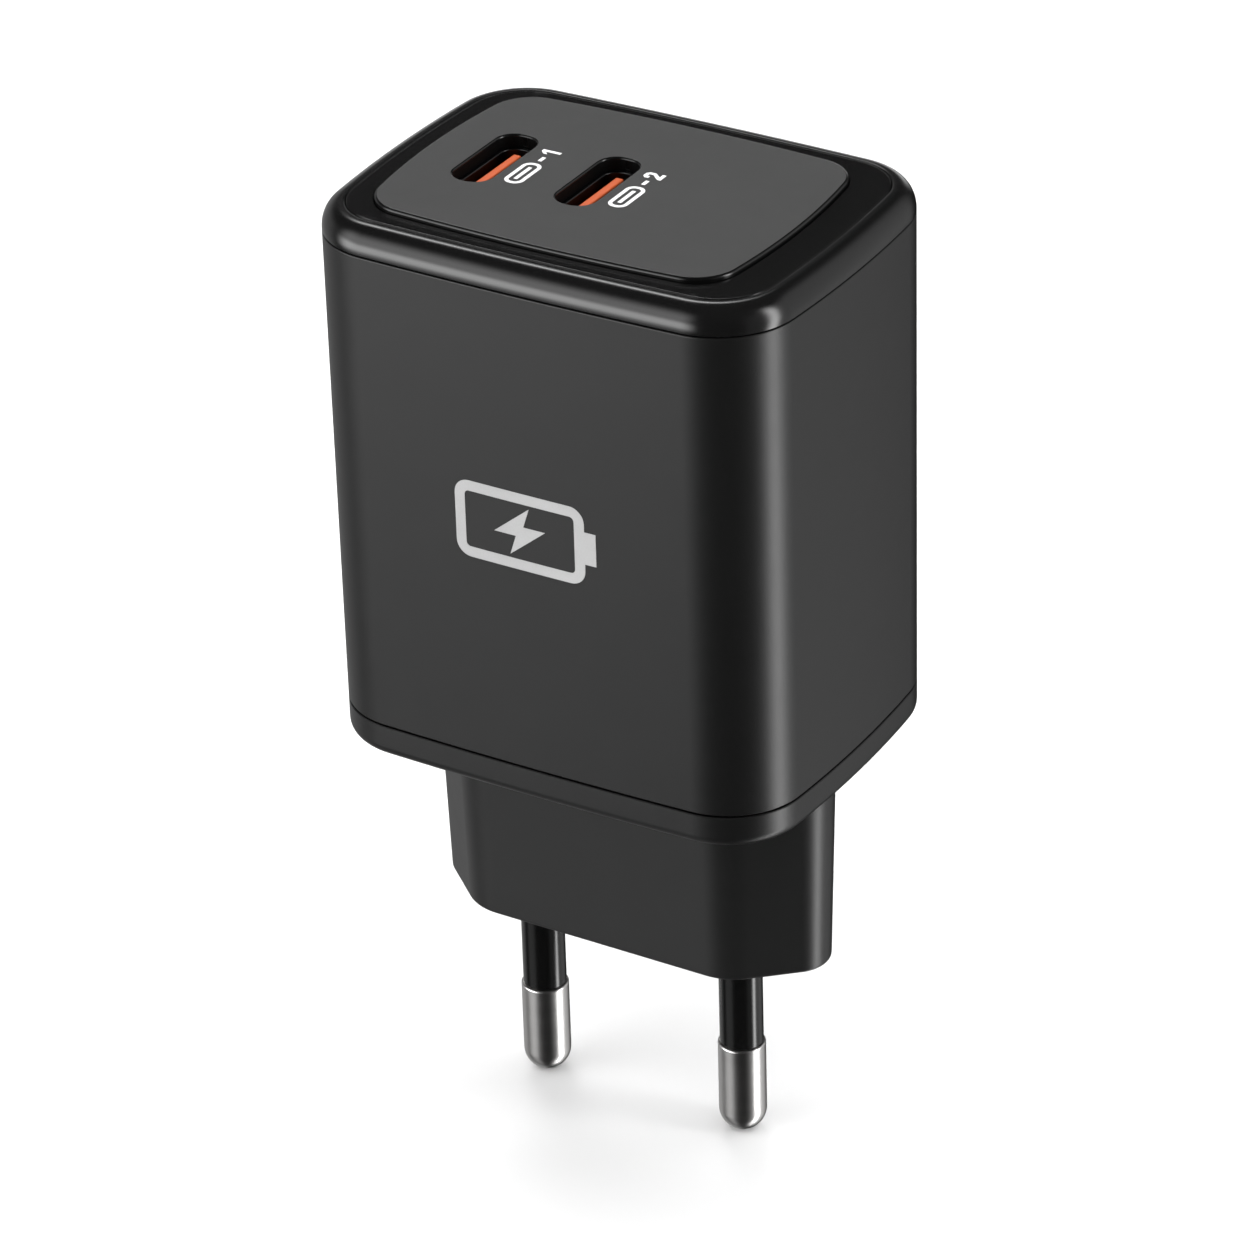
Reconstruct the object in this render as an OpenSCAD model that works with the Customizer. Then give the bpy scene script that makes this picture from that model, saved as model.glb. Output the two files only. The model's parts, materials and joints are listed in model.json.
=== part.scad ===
// Wall charger with two USB-C ports and a flat two-pin mains plug.
// Millimetres. The origin is the centre of the plug's engagement face, the face that meets the
// wall socket. +Z runs from the wall towards the ports, the pins point to -Z, and -Y is the front.

/* [Housing] */
// Length of the housing across its front, at the middle of its bowed sides
body_l = 41.6; // [39:0.1:44]
// Depth of the housing from front to back, at the middle of its bowed sides
body_d = 30.85; // [30:0.05:33]
// Radius of the four upright corners
body_corner = 6.55; // [6:0.05:7.5]
// Radius of the short sides' bow
short_r = 112; // [90:1:180]
// Radius of the long sides' bow
long_r = 425; // [250:5:700]
// Wall of the sleeve
wall = 1.6; // [1.4:0.05:1.8]
// Height of the lower seam above the engagement face
lower_seam = 21.5; // [21.3:0.1:22]
// Height of the upper seam above the engagement face
upper_seam = 63.05; // [63:0.05:66]
// Open width of each seam
seam_gap = 0.15; // [0.05:0.01:0.25]
// Rounding of the lower cap's bottom edge
cap_round = 1; // [0.5:0.1:1.5]

/* [Port end] */
// Height of the rim above the upper seam
rim_h = 2.2; // [2.1:0.05:2.6]
// Width of the rim, seen from above
rim_w = 1.9; // [1.8:0.05:2.2]
// Radius that rolls the rim's outer edge over
rim_round = 1.6; // [1:0.05:1.6]
// Depth of the gloss bezel below the rim
bezel_drop = 0; // [0:0.05:0.5]
// Length of the port plate
plate_l = 32.9; // [31:0.1:34]
// Depth of the port plate
plate_d = 24.1; // [23:0.1:25]
// Corner radius of the port plate
plate_corner = 3.7; // [3.2:0.1:4.5]
// Depth of the receptacles' mouths below the port plate's face
mouth_depth = 1.05; // [1:0.05:1.5]
// Height of the port plate's face above the rim
plate_proud = 0.45; // [0.3:0.05:0.6]
// Offset of the port plate's centre from the housing's
plate_x = -0.6; // [-0.8:0.1:0]
// Offset of port 1's centre from the housing's
port_1_x = -11.15; // [-11.5:0.05:-10.8]
// Offset of port 2's centre from the housing's
port_2_x = -1.85; // [-2.2:0.05:-1.4]
// Length of a port's opening in the plate
port_l = 9.1; // [9:0.05:9.2]
// Width of a port's opening in the plate
port_w = 3.4; // [3.3:0.05:3.5]

/* [Mains plug] */
// Distance between the pins' axes
pin_spacing = 19; // [17.5:0.1:19]
// Diameter of a pin's bare metal end
pin_d = 4; // [3.94:0.01:4.06]
// Length of the pins beyond the engagement face
pin_l = 18.5; // [18.5:0.1:19.5]
// Diameter of the insulating sleeve on each pin
sleeve_d = 3.65; // [3.4:0.05:3.65]
// Length of the sleeves beyond the engagement face
sleeve_l = 9.9; // [9.5:0.1:10]
// Height of the plug body, from the engagement face to the housing
base_h = 18.6; // [18:0.1:18.8]
// Width of the plug body at the engagement face
base_w = 12.9; // [12.6:0.1:13.7]
// Length of the plug body at the engagement face
base_l = 35.3; // [34.5:0.1:35.6]
// Length of the plug body's flat front between the middles of its corners
base_flat = 19.9; // [19:0.1:21]
// Rounding of the four upright edges beside the plug body's flat front and back
base_round = 5; // [4:0.1:5.5]
// Rounding of the two upright edges at the plug body's ends
base_end_round = 3; // [2.5:0.1:3.6]
// Widening of each side from the engagement face up to the housing
base_draft = 0.5; // [0:0.05:0.6]

/* [Electronics] */
// Thickness of the circuit boards
board_t = 1.2; // [1:0.1:1.2]
// Width of the main board
board_w = 32; // [30:0.5:32]
// Distance from the middle of the housing to the main board's front face
board_y = 9.6; // [9.5:0.1:9.7]
// Diameter of each bulk capacitor
bulk_d = 10; // [9:0.1:10]
// Length of each bulk capacitor
bulk_l = 20; // [16:0.5:21]
// Side of the square transformer core, seen along its centre leg
core_w = 15.5; // [14:0.1:15.5]
// Outer diameter of the choke's ring
choke_d = 10; // [9:0.1:10]

/* [Hidden] */

eps = 0.01;            // Overlap that joins two stretches of one solid
arc_steps = 10;        // Straight steps in each arc of a filled outline
big_r = 50;            // Arcs over this radius are drawn in finer steps
key_past = 3;          // Degrees by which a tying key runs past a corner's arc
skin = 0.3;            // Least depth of a tying key below the surface
roll_steps = 6;        // Steps in a rolled edge
fit_gap = 0.05;        // Gap between two housing pieces that slide together

housing = [body_l, body_d, body_corner, short_r, long_r];
plate = [plate_l, plate_d, plate_corner, 61, 186];

// Heights of the port end
rim_z = upper_seam + rim_h;
bezel_z = rim_z - bezel_drop;
plate_z = rim_z + plate_proud;
mouth_z = plate_z - mouth_depth;
bezel_bed = upper_seam + 0.9;
plate_t = plate_z - bezel_bed;
deck_t = 1.8;
deck_z = bezel_bed - deck_t;
port_x = [port_1_x, port_2_x];

// Lower cap
cap_floor = 1.8;
cap_top = base_h + cap_floor;
lip_t = 1.1;
lip_h = 2.5;

// Plug body
boss_d = 6.8;
boss_z = 12;
plug_floor = 2.8;
plug_cavity = [25.5, 8];
neck = [27.7, 10.2];
neck_z = base_h + 3.3;
neck_gap = 0.2;
hook_reach = 0.95;
shank_d = 3.6;
core_d = 3;
flange_d = 5;
flange_h = 1.2;
tail_d = 2;
tail_z = 23;
lug_z = 22.2;
lug_t = 0.5;
lug_w = 5;

// USB-C receptacles: the common 8.34 x 2.56 mm mouth in a 0.3 mm metal shell
mouth = [8.34, 2.56];
shell_t = 0.3;
port_board_z = 54.9;
port_board_t = 1;
shell_z = port_board_z + port_board_t;
tongue = [6.69, 0.7];
tongue_drop = 0.1;
insulator_h = 1.6;
contact_pitch = 0.5;
contacts_per_side = 12;

// Main board and the parts on it
board_back = board_y + board_t;
board_top = port_board_z;
core_x = 8.3;
core_z = 45;
core_y = [-5.5, 8.1];
core_plate = 2.5;
leg_d = 6.4;
window_d = 12.6;
coil_d = 11.6;
bobbin_t = 0.45;
spreader_y = 13;
choke_h = 4;
choke_t = 2.5;
choke_wire = 0.7;
choke_at = [9.3, board_y - choke_d / 2 - choke_wire, 27.3];

// Printed marks
print_t = 0.02;
mark_at = [-0.4, 42.8];
mark_size = [11.6, 6.7];
mark_line = 0.9;
label_at = [3.45, -0.1];
label_h = 1.65;
label_line = 0.32;

// ---- outlines -------------------------------------------------------------------------------
// An outline is [length, depth, corner radius, radius of the short sides, radius of the long sides].
// It is eight arcs that meet without a corner: four large ones on the sides, four at the corners.

// Centre of a corner arc, which touches both side arcs from inside. a and b are the distances of
// the long and the short side's centre behind the middle.
function corner_centre(o, a, b) =
    let (to_long = o[4] - o[2], to_short = o[3] - o[2])
    let (p = (to_long * to_long - to_short * to_short - a * a + b * b) / (2 * a) + a)
    let (q = b / a)
    let (root = sqrt(q * q * p * p - (1 + q * q) * (p * p - to_long * to_long)))
    let (x = (root - q * p) / (1 + q * q))
    [x, p + q * x - a];

// The eight arcs, each as [centre, radius, base direction, start, sweep], angles in degrees
function arcs(o) =
    let (a = o[4] - o[1] / 2, b = o[3] - o[0] / 2)
    let (k = corner_centre(o, a, b))
    let (low = atan2(k.y, k.x + b), lean = atan2(k.x, k.y + a), turn = 90 - low - lean)
    [
        [[-b, 0], o[3], 0, -low, 2 * low],
        [[k.x, k.y], o[2], 0, low, turn],
        [[0, -a], o[4], 90, -lean, 2 * lean],
        [[-k.x, k.y], o[2], 90, lean, turn],
        [[b, 0], o[3], 180, -low, 2 * low],
        [[-k.x, -k.y], o[2], 180, low, turn],
        [[0, a], o[4], 270, -lean, 2 * lean],
        [[k.x, -k.y], o[2], 270, lean, turn]
    ];

// Points on an outline, moved inwards by inset
function outline(o, inset) = [
    for (s = arcs(o))
        for (i = [0:arc_steps - 1])
            let (angle = s[2] + s[3] + s[4] * i / arc_steps)
            s[0] + (s[1] - inset) * [cos(angle), sin(angle)]
];

// Turns a flat profile through one arc and a little past each of its ends
module sweep(s, past) {
    translate([s[0].x, s[0].y, 0])
        rotate([0, 0, s[2]])
            rotate_extrude(angle = s[4] + 2 * past, start = s[3] - past, $fn = s[1] > big_r ? 720 : 96)
                translate([s[1], 0])
                    children();
}

// Carries a flat profile round an outline: the profile's x is the distance outside it, y is height.
// The key is a rectangle inside the profile that runs on past each corner and ties the arcs together.
module around(o, key) {
    for (s = arcs(o)) {
        sweep(s, 0)
            children();
        if (s[1] < big_r)
            sweep(s, key_past)
                rect(key[0], key[1]);
    }
}

// A flat rectangle from low to high
module rect(low, high) {
    translate(low)
        square(high - low);
}

// A straight-sided slab with the outline's shape
module slab(o, inset, z0, z1) {
    translate([0, 0, z0])
        linear_extrude(z1 - z0)
            polygon(outline(o, inset));
}

// A solid through a stack of outlines, each [inset, height]
module loft(o, levels) {
    hull()
        for (l = levels)
            translate([0, 0, l[1]])
                linear_extrude(eps)
                    polygon(outline(o, l[0]));
}

// Levels that roll an edge over with radius r; side is 1 for an upper edge and -1 for a lower one
function rolled(r, z, side) = [
    for (i = [0:roll_steps])
        let (angle = 90 * i / roll_steps)
        [r * (1 - cos(angle)), z + side * (r * sin(angle) - r) - (side > 0 ? eps : 0)]
];

// A flat rectangle with rounded corners, centred
module rounded(size, r) {
    square([size.x, size.y - 2 * r], center = true);
    square([size.x - 2 * r, size.y], center = true);
    for (x = [-1, 1])
        for (y = [-1, 1])
            translate([x * (size.x / 2 - r), y * (size.y / 2 - r)])
                circle(r, $fn = 64);
}

// A block from low to high
module block(low, high) {
    translate(low)
        cube(high - low);
}

// A round rod along Y
module rod_y(x, z, y0, y1, d) {
    translate([x, y0, z])
        rotate([-90, 0, 0])
            cylinder(d = d, h = y1 - y0, $fn = 64);
}

// ---- housing --------------------------------------------------------------------------------

module body_sleeve() {
    edge = 0.12;
    z0 = lower_seam + seam_gap / 2;
    z1 = upper_seam - seam_gap / 2;
    color("#3a3a3c")
        around(housing, [[-wall + skin, z0 + 1], [-skin, z1 - 1]])
            polygon([
                [-wall, z0],
                [-edge, z0],
                [0, z0 + edge],
                [0, z1 - edge],
                [-edge, z1],
                [-wall, z1]
            ]);
}

module top_cap() {
    lip_z = deck_z - 1.4;
    inner = wall + fit_gap;
    post = 2;
    post_x = 15;
    post_y = 6.5;
    color("#232325") {
        difference() {
            union() {
                loft(housing, concat([[0, upper_seam]], rolled(rim_round, rim_z, 1)));
                slab(housing, inner, lip_z, upper_seam + eps);
            }
            slab(housing, rim_w, bezel_bed, rim_z + 1);
            slab(housing, inner + lip_t, lip_z - 1, deck_z);
            for (x = port_x)
                translate([x, 0, deck_z - 1])
                    linear_extrude(deck_t + 2)
                        rounded([mouth.y + 1.2, mouth.x + 1.2], 1.7);
        }
        for (x = [-1, 1])
            for (y = [-1, 1])
                block(
                    [x * post_x - post / 2, y * post_y - post / 2, shell_z],
                    [x * post_x + post / 2, y * post_y + post / 2, deck_z + eps]
                );
    }
}

module bezel_ring() {
    width = 3.4;
    outer = -rim_w - fit_gap;
    color("#0b0b0c")
        difference() {
            around(housing, [[outer - width + skin, bezel_bed + skin], [outer - skin, bezel_z - skin]])
                rect([outer - width, bezel_bed], [outer, bezel_z]);
            translate([plate_x, 0, bezel_bed - 1])
                linear_extrude(3)
                    polygon(outline(plate, -fit_gap));
        }
}

module port_plate() {
    edge = 0.25;
    flare = 0.2;
    color("#4a4a4c")
        difference() {
            translate([plate_x, 0, 0])
                loft(plate, [[0, bezel_bed], [0, plate_z - edge], [edge, plate_z - eps]]);
            for (x = port_x)
                translate([x, 0, 0]) {
                    translate([0, 0, bezel_bed - 1])
                        linear_extrude(plate_t + 2)
                            rounded([port_w, port_l], 1.5);
                    hull()
                        for (s = [0, 1])
                            translate([0, 0, plate_z - flare * (1 - s)])
                                linear_extrude(eps)
                                    rounded([port_w + 2 * flare * s, port_l + 2 * flare * s], 1.5 + flare * s);
                }
        }
}

module bottom_cap() {
    seam_z = lower_seam - seam_gap / 2;
    lip_z = lower_seam + lip_h;
    inner = wall + fit_gap;
    rib_x = [13, 16];
    color("#343436") {
        difference() {
            union() {
                loft(housing, rolled(cap_round, base_h, -1));
                slab(housing, 0, base_h + cap_round, seam_z);
                slab(housing, inner, seam_z - eps, lip_z);
            }
            slab(housing, inner + lip_t, cap_top, lip_z + 1);
            translate([0, 0, base_h - 1])
                linear_extrude(cap_floor + 2)
                    rounded([neck.x + 2 * neck_gap, neck.y + 2 * neck_gap], 1.7);
        }
        // Two pairs of ribs that hold the main board's lower edge
        for (x = [-1, 1])
            for (y = [board_y - 0.8, board_back + 0.1])
                block(
                    [x > 0 ? rib_x[0] : -rib_x[1], y, cap_top - eps],
                    [x > 0 ? rib_x[1] : -rib_x[0], y + 0.7, cap_top + 2.6]
                );
    }
}

// ---- printed marks --------------------------------------------------------------------------

// A flat ring with rounded corners, centred
module rounded_ring(size, r, line) {
    difference() {
        rounded(size, r);
        rounded([size.x - 2 * line, size.y - 2 * line], max(r - line, line / 4));
    }
}

// A battery with a lightning bolt, the common sign for charging, printed on the bowed front
module front_mark() {
    nub = [0.5, 1.4];
    color("#c9c9c9")
        intersection() {
            sweep_front(print_t);
            translate([mark_at.x, 0, mark_at.y])
                rotate([90, 0, 0])
                    linear_extrude(body_d) {
                        rounded_ring(mark_size, 1.3, mark_line);
                        rect([mark_size.x / 2 - eps, -nub.y], [mark_size.x / 2 + 2 * nub.x, nub.y]);
                        polygon([
                            [0.9, 2.15],
                            [-2.3, -0.45],
                            [-0.35, -0.45],
                            [-0.9, -2.15],
                            [2.3, 0.45],
                            [0.35, 0.45]
                        ]);
                    }
        }
}

// A skin of the given thickness on the middle of the bowed front
module sweep_front(t) {
    s = arcs(housing)[6];
    sweep(s, 0)
        rect([0, lower_seam + 1], [t, upper_seam - 1]);
}

// A port's label, read from the front edge of the plate: the port's outline, a dash and its number
module port_label(x, digit) {
    slot = [3.9, label_h];
    dash = 0.75;
    gap = 0.5;
    digit_w = 0.95;
    total = slot.x + dash + digit_w + 2 * gap;
    color("#f2f2f2")
        translate([x + label_at.x, label_at.y, plate_z])
            rotate([0, 0, 90])
                linear_extrude(print_t)
                    translate([-total / 2, 0]) {
                        translate([slot.x / 2, 0]) {
                            rounded_ring(slot, 0.75, label_line);
                            square([slot.x - 1.6, label_line], center = true);
                        }
                        translate([slot.x + gap, -label_line / 2])
                            square([dash, label_line]);
                        translate([slot.x + 2 * gap + dash, -label_h / 2])
                            digit_shape(digit, digit_w);
                    }
}

// The digits 1 and 2, drawn in straight strokes
module digit_shape(digit, w) {
    h = label_h;
    t = label_line;
    if (digit == 1)
        polygon([
            [w / 2, 0], [w / 2 + t, 0], [w / 2 + t, h], [w / 2, h],
            [0.1, h - 0.34], [0.1, h - 0.68], [w / 2, h - 0.4]
        ]);
    else
        polygon([
            [0, 0], [w, 0], [w, t], [0.46, t], [w, 0.9], [w, h - 0.25], [w - 0.25, h], [0.22, h],
            [0, h - 0.22], [0, h - 0.55], [t, h - 0.55], [t, h - t], [w - t, h - t], [w - t, 0.98], [0, 0.3]
        ]);
}

module port_1_label() {
    port_label(port_1_x, 1);
}

module port_2_label() {
    port_label(port_2_x, 2);
}

// ---- mains plug -----------------------------------------------------------------------------

module plug_base() {
    edge = 0.35;
    end_x = base_l / 2 - base_end_round;
    corner_y = base_w / 2 - base_round;
    // Each upright edge as [x, y, radius]
    edges = [
        [-end_x, 0, base_end_round],
        [end_x, 0, base_end_round],
        [-base_flat / 2, -corner_y, base_round],
        [base_flat / 2, -corner_y, base_round],
        [-base_flat / 2, corner_y, base_round],
        [base_flat / 2, corner_y, base_round]
    ];
    color("#2c2c2e")
        difference() {
            union() {
                hull()
                    for (c = edges)
                        translate([c.x, c.y, 0]) {
                            cylinder(r = c[2] - edge, h = 1, $fn = 32);
                            translate([0, 0, edge])
                                cylinder(r1 = c[2], r2 = c[2] + base_draft, h = base_h - edge, $fn = 32);
                        }
                translate([0, 0, base_h - 1])
                    linear_extrude(neck_z - base_h + 1)
                        rounded(neck, 1.5);
                for (x = [-1, 1])
                    snap_hook(x);
            }
            difference() {
                translate([0, 0, plug_floor])
                    linear_extrude(neck_z)
                        rounded(plug_cavity, 1.2);
                for (x = [-1, 1])
                    translate([x * pin_spacing / 2, 0, 0])
                        cylinder(d = boss_d, h = boss_z, $fn = 64);
            }
            for (x = [-1, 1])
                translate([x * pin_spacing / 2, 0, 0]) {
                    translate([0, 0, -1])
                        cylinder(d = sleeve_d, h = plug_floor + 1, $fn = 64);
                    translate([0, 0, plug_floor - eps])
                        cylinder(d = flange_d, h = flange_h + eps, $fn = 64);
                    cylinder(d = shank_d, h = boss_z + 1, $fn = 64);
                }
        }
}

// A wedge on the end of the neck that snaps over the lower cap's floor
module snap_hook(side) {
    translate([side * (neck.x / 2 - eps), 0, 0])
        rotate([90, 0, 0])
            translate([0, 0, -2.5])
                linear_extrude(5)
                    polygon([
                        [0, cap_top],
                        [side * hook_reach, cap_top],
                        [side * hook_reach, cap_top + 0.5],
                        [0, neck_z]
                    ]);
}

// Turned pin: rounded bare end, thinner core under the sleeve, flange, shank and tail
module pin(x) {
    r = pin_d / 2;
    step = 0.2;
    color("#c9c9c6")
        translate([x, 0, 0])
            rotate_extrude($fn = 96) {
                intersection() {
                    translate([0, -pin_l + r])
                        circle(r, $fn = 96);
                    rect([0, -pin_l - 1], [r, -pin_l + r]);
                }
                polygon([
                    [0, -pin_l + r],
                    [r, -pin_l + r],
                    [r, -sleeve_l - step],
                    [r - step, -sleeve_l],
                    [core_d / 2, -sleeve_l],
                    [core_d / 2, plug_floor],
                    [flange_d / 2, plug_floor],
                    [flange_d / 2, plug_floor + flange_h],
                    [shank_d / 2, plug_floor + flange_h],
                    [shank_d / 2, boss_z],
                    [tail_d / 2, boss_z + 1],
                    [tail_d / 2, tail_z],
                    [0, tail_z]
                ]);
            }
}

module line_pin() {
    pin(-pin_spacing / 2);
}

module neutral_pin() {
    pin(pin_spacing / 2);
}

module pin_sleeve(x) {
    color("#0d0d0e")
        translate([x, 0, -sleeve_l])
            difference() {
                cylinder(d = sleeve_d, h = sleeve_l + plug_floor, $fn = 96);
                translate([0, 0, -1])
                    cylinder(d = core_d, h = sleeve_l + plug_floor + 2, $fn = 96);
            }
}

module line_pin_sleeve() {
    pin_sleeve(-pin_spacing / 2);
}

module neutral_pin_sleeve() {
    pin_sleeve(pin_spacing / 2);
}

// Strap from a pin's tail to the main board: a lug with a hole, bent up against the board
module contact_strap(x) {
    tab_h = 2.2;
    color("#b98a4a")
        difference() {
            union() {
                block([x - lug_w / 2, -lug_w / 2, lug_z], [x + lug_w / 2, board_y, lug_z + lug_t]);
                block([x - lug_w / 2, board_y - lug_t, lug_z], [x + lug_w / 2, board_y, lug_z + tab_h]);
            }
            translate([x, 0, lug_z - 1])
                cylinder(d = tail_d, h = 3, $fn = 48);
        }
}

module line_contact() {
    contact_strap(-pin_spacing / 2);
}

module neutral_contact() {
    contact_strap(pin_spacing / 2);
}

// ---- boards and ports -----------------------------------------------------------------------

module main_board() {
    color("#1d5b3a")
        block([-board_w / 2, board_y, cap_top], [board_w / 2, board_back, board_top]);
}

module port_board() {
    color("#1d5b3a")
        block([-17, -8, port_board_z], [17, board_back, port_board_z + port_board_t]);
}

module board_header() {
    pins = 6;
    pitch = 2;
    pin_w = 0.6;
    x0 = -14.2;
    color("#141414")
        block([x0 - 1, board_y - 2.4, 50.2], [x0 + (pins - 1) * pitch + 1, board_y, 52.4]);
    color("#c8a24a")
        for (i = [0:pins - 1])
            block(
                [x0 + i * pitch - pin_w / 2, board_y - 1.5, 52.4],
                [x0 + i * pitch + pin_w / 2, board_y - 1.5 + pin_w, port_board_z]
            );
}

module port_shell(x) {
    color("#9a9a98")
        translate([x, 0, shell_z])
            linear_extrude(mouth_z - shell_z)
                difference() {
                    rounded([mouth.y + 2 * shell_t, mouth.x + 2 * shell_t], 1.5);
                    rounded([mouth.y, mouth.x], 1.2);
                }
}

module port_insulator(x) {
    color("#161616")
        translate([x, 0, shell_z])
            linear_extrude(insulator_h)
                rounded([mouth.y, mouth.x], 1.2);
}

module port_tongue(x) {
    z0 = shell_z + insulator_h;
    color("#e2602e")
        translate([x, 0, z0])
            linear_extrude(mouth_z - tongue_drop - z0)
                square([tongue.y, tongue.x], center = true);
}

module port_contacts(x) {
    strip_w = 0.25;
    strip_t = 0.05;
    z0 = shell_z + insulator_h;
    z1 = mouth_z - tongue_drop - 0.9;
    first = -contact_pitch * (contacts_per_side - 1) / 2;
    color("#d8b056")
        for (side = [-1, 1])
            for (i = [0:contacts_per_side - 1])
                translate([x + side * (tongue.y + strip_t) / 2, first + i * contact_pitch, (z0 + z1) / 2])
                    cube([strip_t, strip_w, z1 - z0], center = true);
}

module port_1_shell() {
    port_shell(port_1_x);
}

module port_2_shell() {
    port_shell(port_2_x);
}

module port_1_tongue() {
    port_tongue(port_1_x);
}

module port_2_tongue() {
    port_tongue(port_2_x);
}

module port_1_contacts() {
    port_contacts(port_1_x);
}

module port_2_contacts() {
    port_contacts(port_2_x);
}

module port_1_insulator() {
    port_insulator(port_1_x);
}

module port_2_insulator() {
    port_insulator(port_2_x);
}

// ---- power parts on the main board's front --------------------------------------------------

module transformer_core() {
    half = core_w / 2;
    color("#2e2e30") {
        difference() {
            block([core_x - half, core_y[0], core_z - half], [core_x + half, core_y[1], core_z + half]);
            block(
                [core_x - window_d / 2, core_y[0] + core_plate, core_z - core_w],
                [core_x + window_d / 2, core_y[1] - core_plate, core_z + core_w]
            );
        }
        rod_y(core_x, core_z, core_y[0] + core_plate - eps, core_y[1] - core_plate + eps, leg_d);
    }
}

module transformer_bobbin() {
    flange_t = 0.6;
    y0 = core_y[0] + core_plate;
    y1 = core_y[1] - core_plate;
    color("#1b1b1d") {
        difference() {
            union() {
                rod_y(core_x, core_z, y0, y1, leg_d + 2 * bobbin_t);
                rod_y(core_x, core_z, y0, y0 + flange_t, coil_d + 0.6);
                rod_y(core_x, core_z, y1 - flange_t, y1, coil_d + 0.6);
            }
            rod_y(core_x, core_z, y0 - 1, y1 + 1, leg_d);
        }
        // Terminal rails that carry the transformer on the board
        for (z = [core_z - core_w / 2 - 1.2, core_z + core_w / 2])
            block([core_x - 5.5, y1 - flange_t, z], [core_x + 5.5, board_y, z + 1.2]);
        for (z = [-1, 1])
            block(
                [core_x - 2.5, y1 - flange_t, core_z + (z > 0 ? coil_d / 2 : -core_w / 2 - eps)],
                [core_x + 2.5, y1, core_z + (z > 0 ? core_w / 2 + eps : -coil_d / 2)]
            );
    }
}

module transformer_winding() {
    gap = 0.6;
    color("#d9b23c")
        difference() {
            rod_y(core_x, core_z, core_y[0] + core_plate + gap, core_y[1] - core_plate - gap, coil_d);
            rod_y(core_x, core_z, core_y[0], core_y[1], leg_d + 2 * bobbin_t);
        }
}

// Radial can with a rolled-in groove near its base and a bevelled top edge
module can(at, d, h) {
    r = d / 2;
    groove = 0.3;
    translate(at)
        rotate_extrude($fn = 96)
            polygon([
                [0, 0],
                [r - groove, 0],
                [r, groove],
                [r, 1.8],
                [r - groove, 2.1],
                [r - groove, 2.5],
                [r, 2.8],
                [r, h - 0.4],
                [r - 0.4, h],
                [0, h]
            ]);
}

module bulk_capacitor_1() {
    color("#20324f")
        can([-11.3, 3.9, 26], bulk_d, bulk_l);
}

module bulk_capacitor_2() {
    color("#20324f")
        can([-11.3, -6.6, 26], bulk_d, bulk_l);
}

module output_capacitor_1() {
    color("#b9bcc2")
        can([-2.9, 3.9, 44.4], 6.3, 9);
}

module output_capacitor_2() {
    color("#b9bcc2")
        can([-2.9, -2.8, 44.4], 6.3, 9);
}

module suppression_capacitor() {
    color("#c9a227")
        block([3, -3, 30.3], [15, board_y, 35.8]);
}

module safety_capacitor() {
    color("#2b5fb0")
        rod_y(-1.8, 33.5, board_y - 3.4, board_y, 8);
}

module choke_core() {
    color("#33553f")
        translate(choke_at)
            difference() {
                cylinder(d = choke_d, h = choke_h, center = true, $fn = 96);
                cylinder(d = choke_d - 2 * choke_t, h = choke_h + 2, center = true, $fn = 96);
            }
}

// Two coils of enamelled wire, each a ring sector wrapped round the core
module choke_winding() {
    inner = choke_d / 2 - choke_t;
    color("#b5622b")
        translate(choke_at)
            for (start = [30, 210])
                rotate_extrude(angle = 120, start = start, $fn = 96)
                    difference() {
                        rect(
                            [inner - choke_wire, -choke_h / 2 - choke_wire],
                            [choke_d / 2 + choke_wire, choke_h / 2 + choke_wire]
                        );
                        rect([inner, -choke_h / 2], [choke_d / 2, choke_h / 2]);
                    }
}

module fuse() {
    cap_l = 2.2;
    cap_d = 3.6;
    tube_d = 3.2;
    fuse_l = 10;
    color("#d7d9d6")
        translate([-6.8, board_y - cap_d / 2, 24.1])
            rotate([0, 90, 0]) {
                cylinder(d = tube_d, h = fuse_l, $fn = 64);
                for (x = [0, fuse_l - cap_l])
                    translate([0, 0, x])
                        cylinder(d = cap_d, h = cap_l, $fn = 64);
            }
}

// ---- flat parts on the main board's back ----------------------------------------------------

// A flat package with bevelled upper edges, from low to high against the board's back
module chip(x, z, h) {
    bevel = 0.25;
    y0 = board_back;
    translate([0, 0, z[0]])
        linear_extrude(z[1] - z[0])
            polygon([
                [x[0], y0],
                [x[1], y0],
                [x[1], y0 + h - bevel],
                [x[1] - bevel, y0 + h],
                [x[0] + bevel, y0 + h],
                [x[0], y0 + h - bevel]
            ]);
}

module bridge_rectifier() {
    color("#1a1a1a")
        chip([-12, -3.5], [26, 34], 1.5);
}

module power_switch() {
    color("#1a1a1a")
        chip([4, 12], [38, 46], 0.9);
}

module thermal_pad() {
    color("#7f8fa6")
        block([3, board_back + 0.9, 37], [13, spreader_y, 47]);
}

module heat_spreader() {
    color("#b7b9bb")
        block([-14, spreader_y, 25], [14, spreader_y + 0.4, 53]);
}

module rectifier_switch() {
    color("#1a1a1a")
        chip([-10, -5], [45, 51], 1);
}

module mains_controller() {
    color("#1a1a1a")
        chip([-9, -4], [37.5, 41.5], 1.2);
}

module isolating_coupler() {
    color("#e8e8e4")
        chip([1, 5.6], [28, 34.5], 1.8);
}

// ---- small parts under the port board -------------------------------------------------------

module port_controller() {
    color("#1a1a1a")
        block([-4.5, -7, port_board_z - 0.9], [0.5, -2, port_board_z]);
}

module output_inductor() {
    color("#4d4f52")
        block([-15, -7, port_board_z - 4], [-8, 0, port_board_z]);
}

module insulation_sheet() {
    color("#e9d9a0")
        block([-14, -13.55, 25], [14, -13.3, 53.5]);
}

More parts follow.
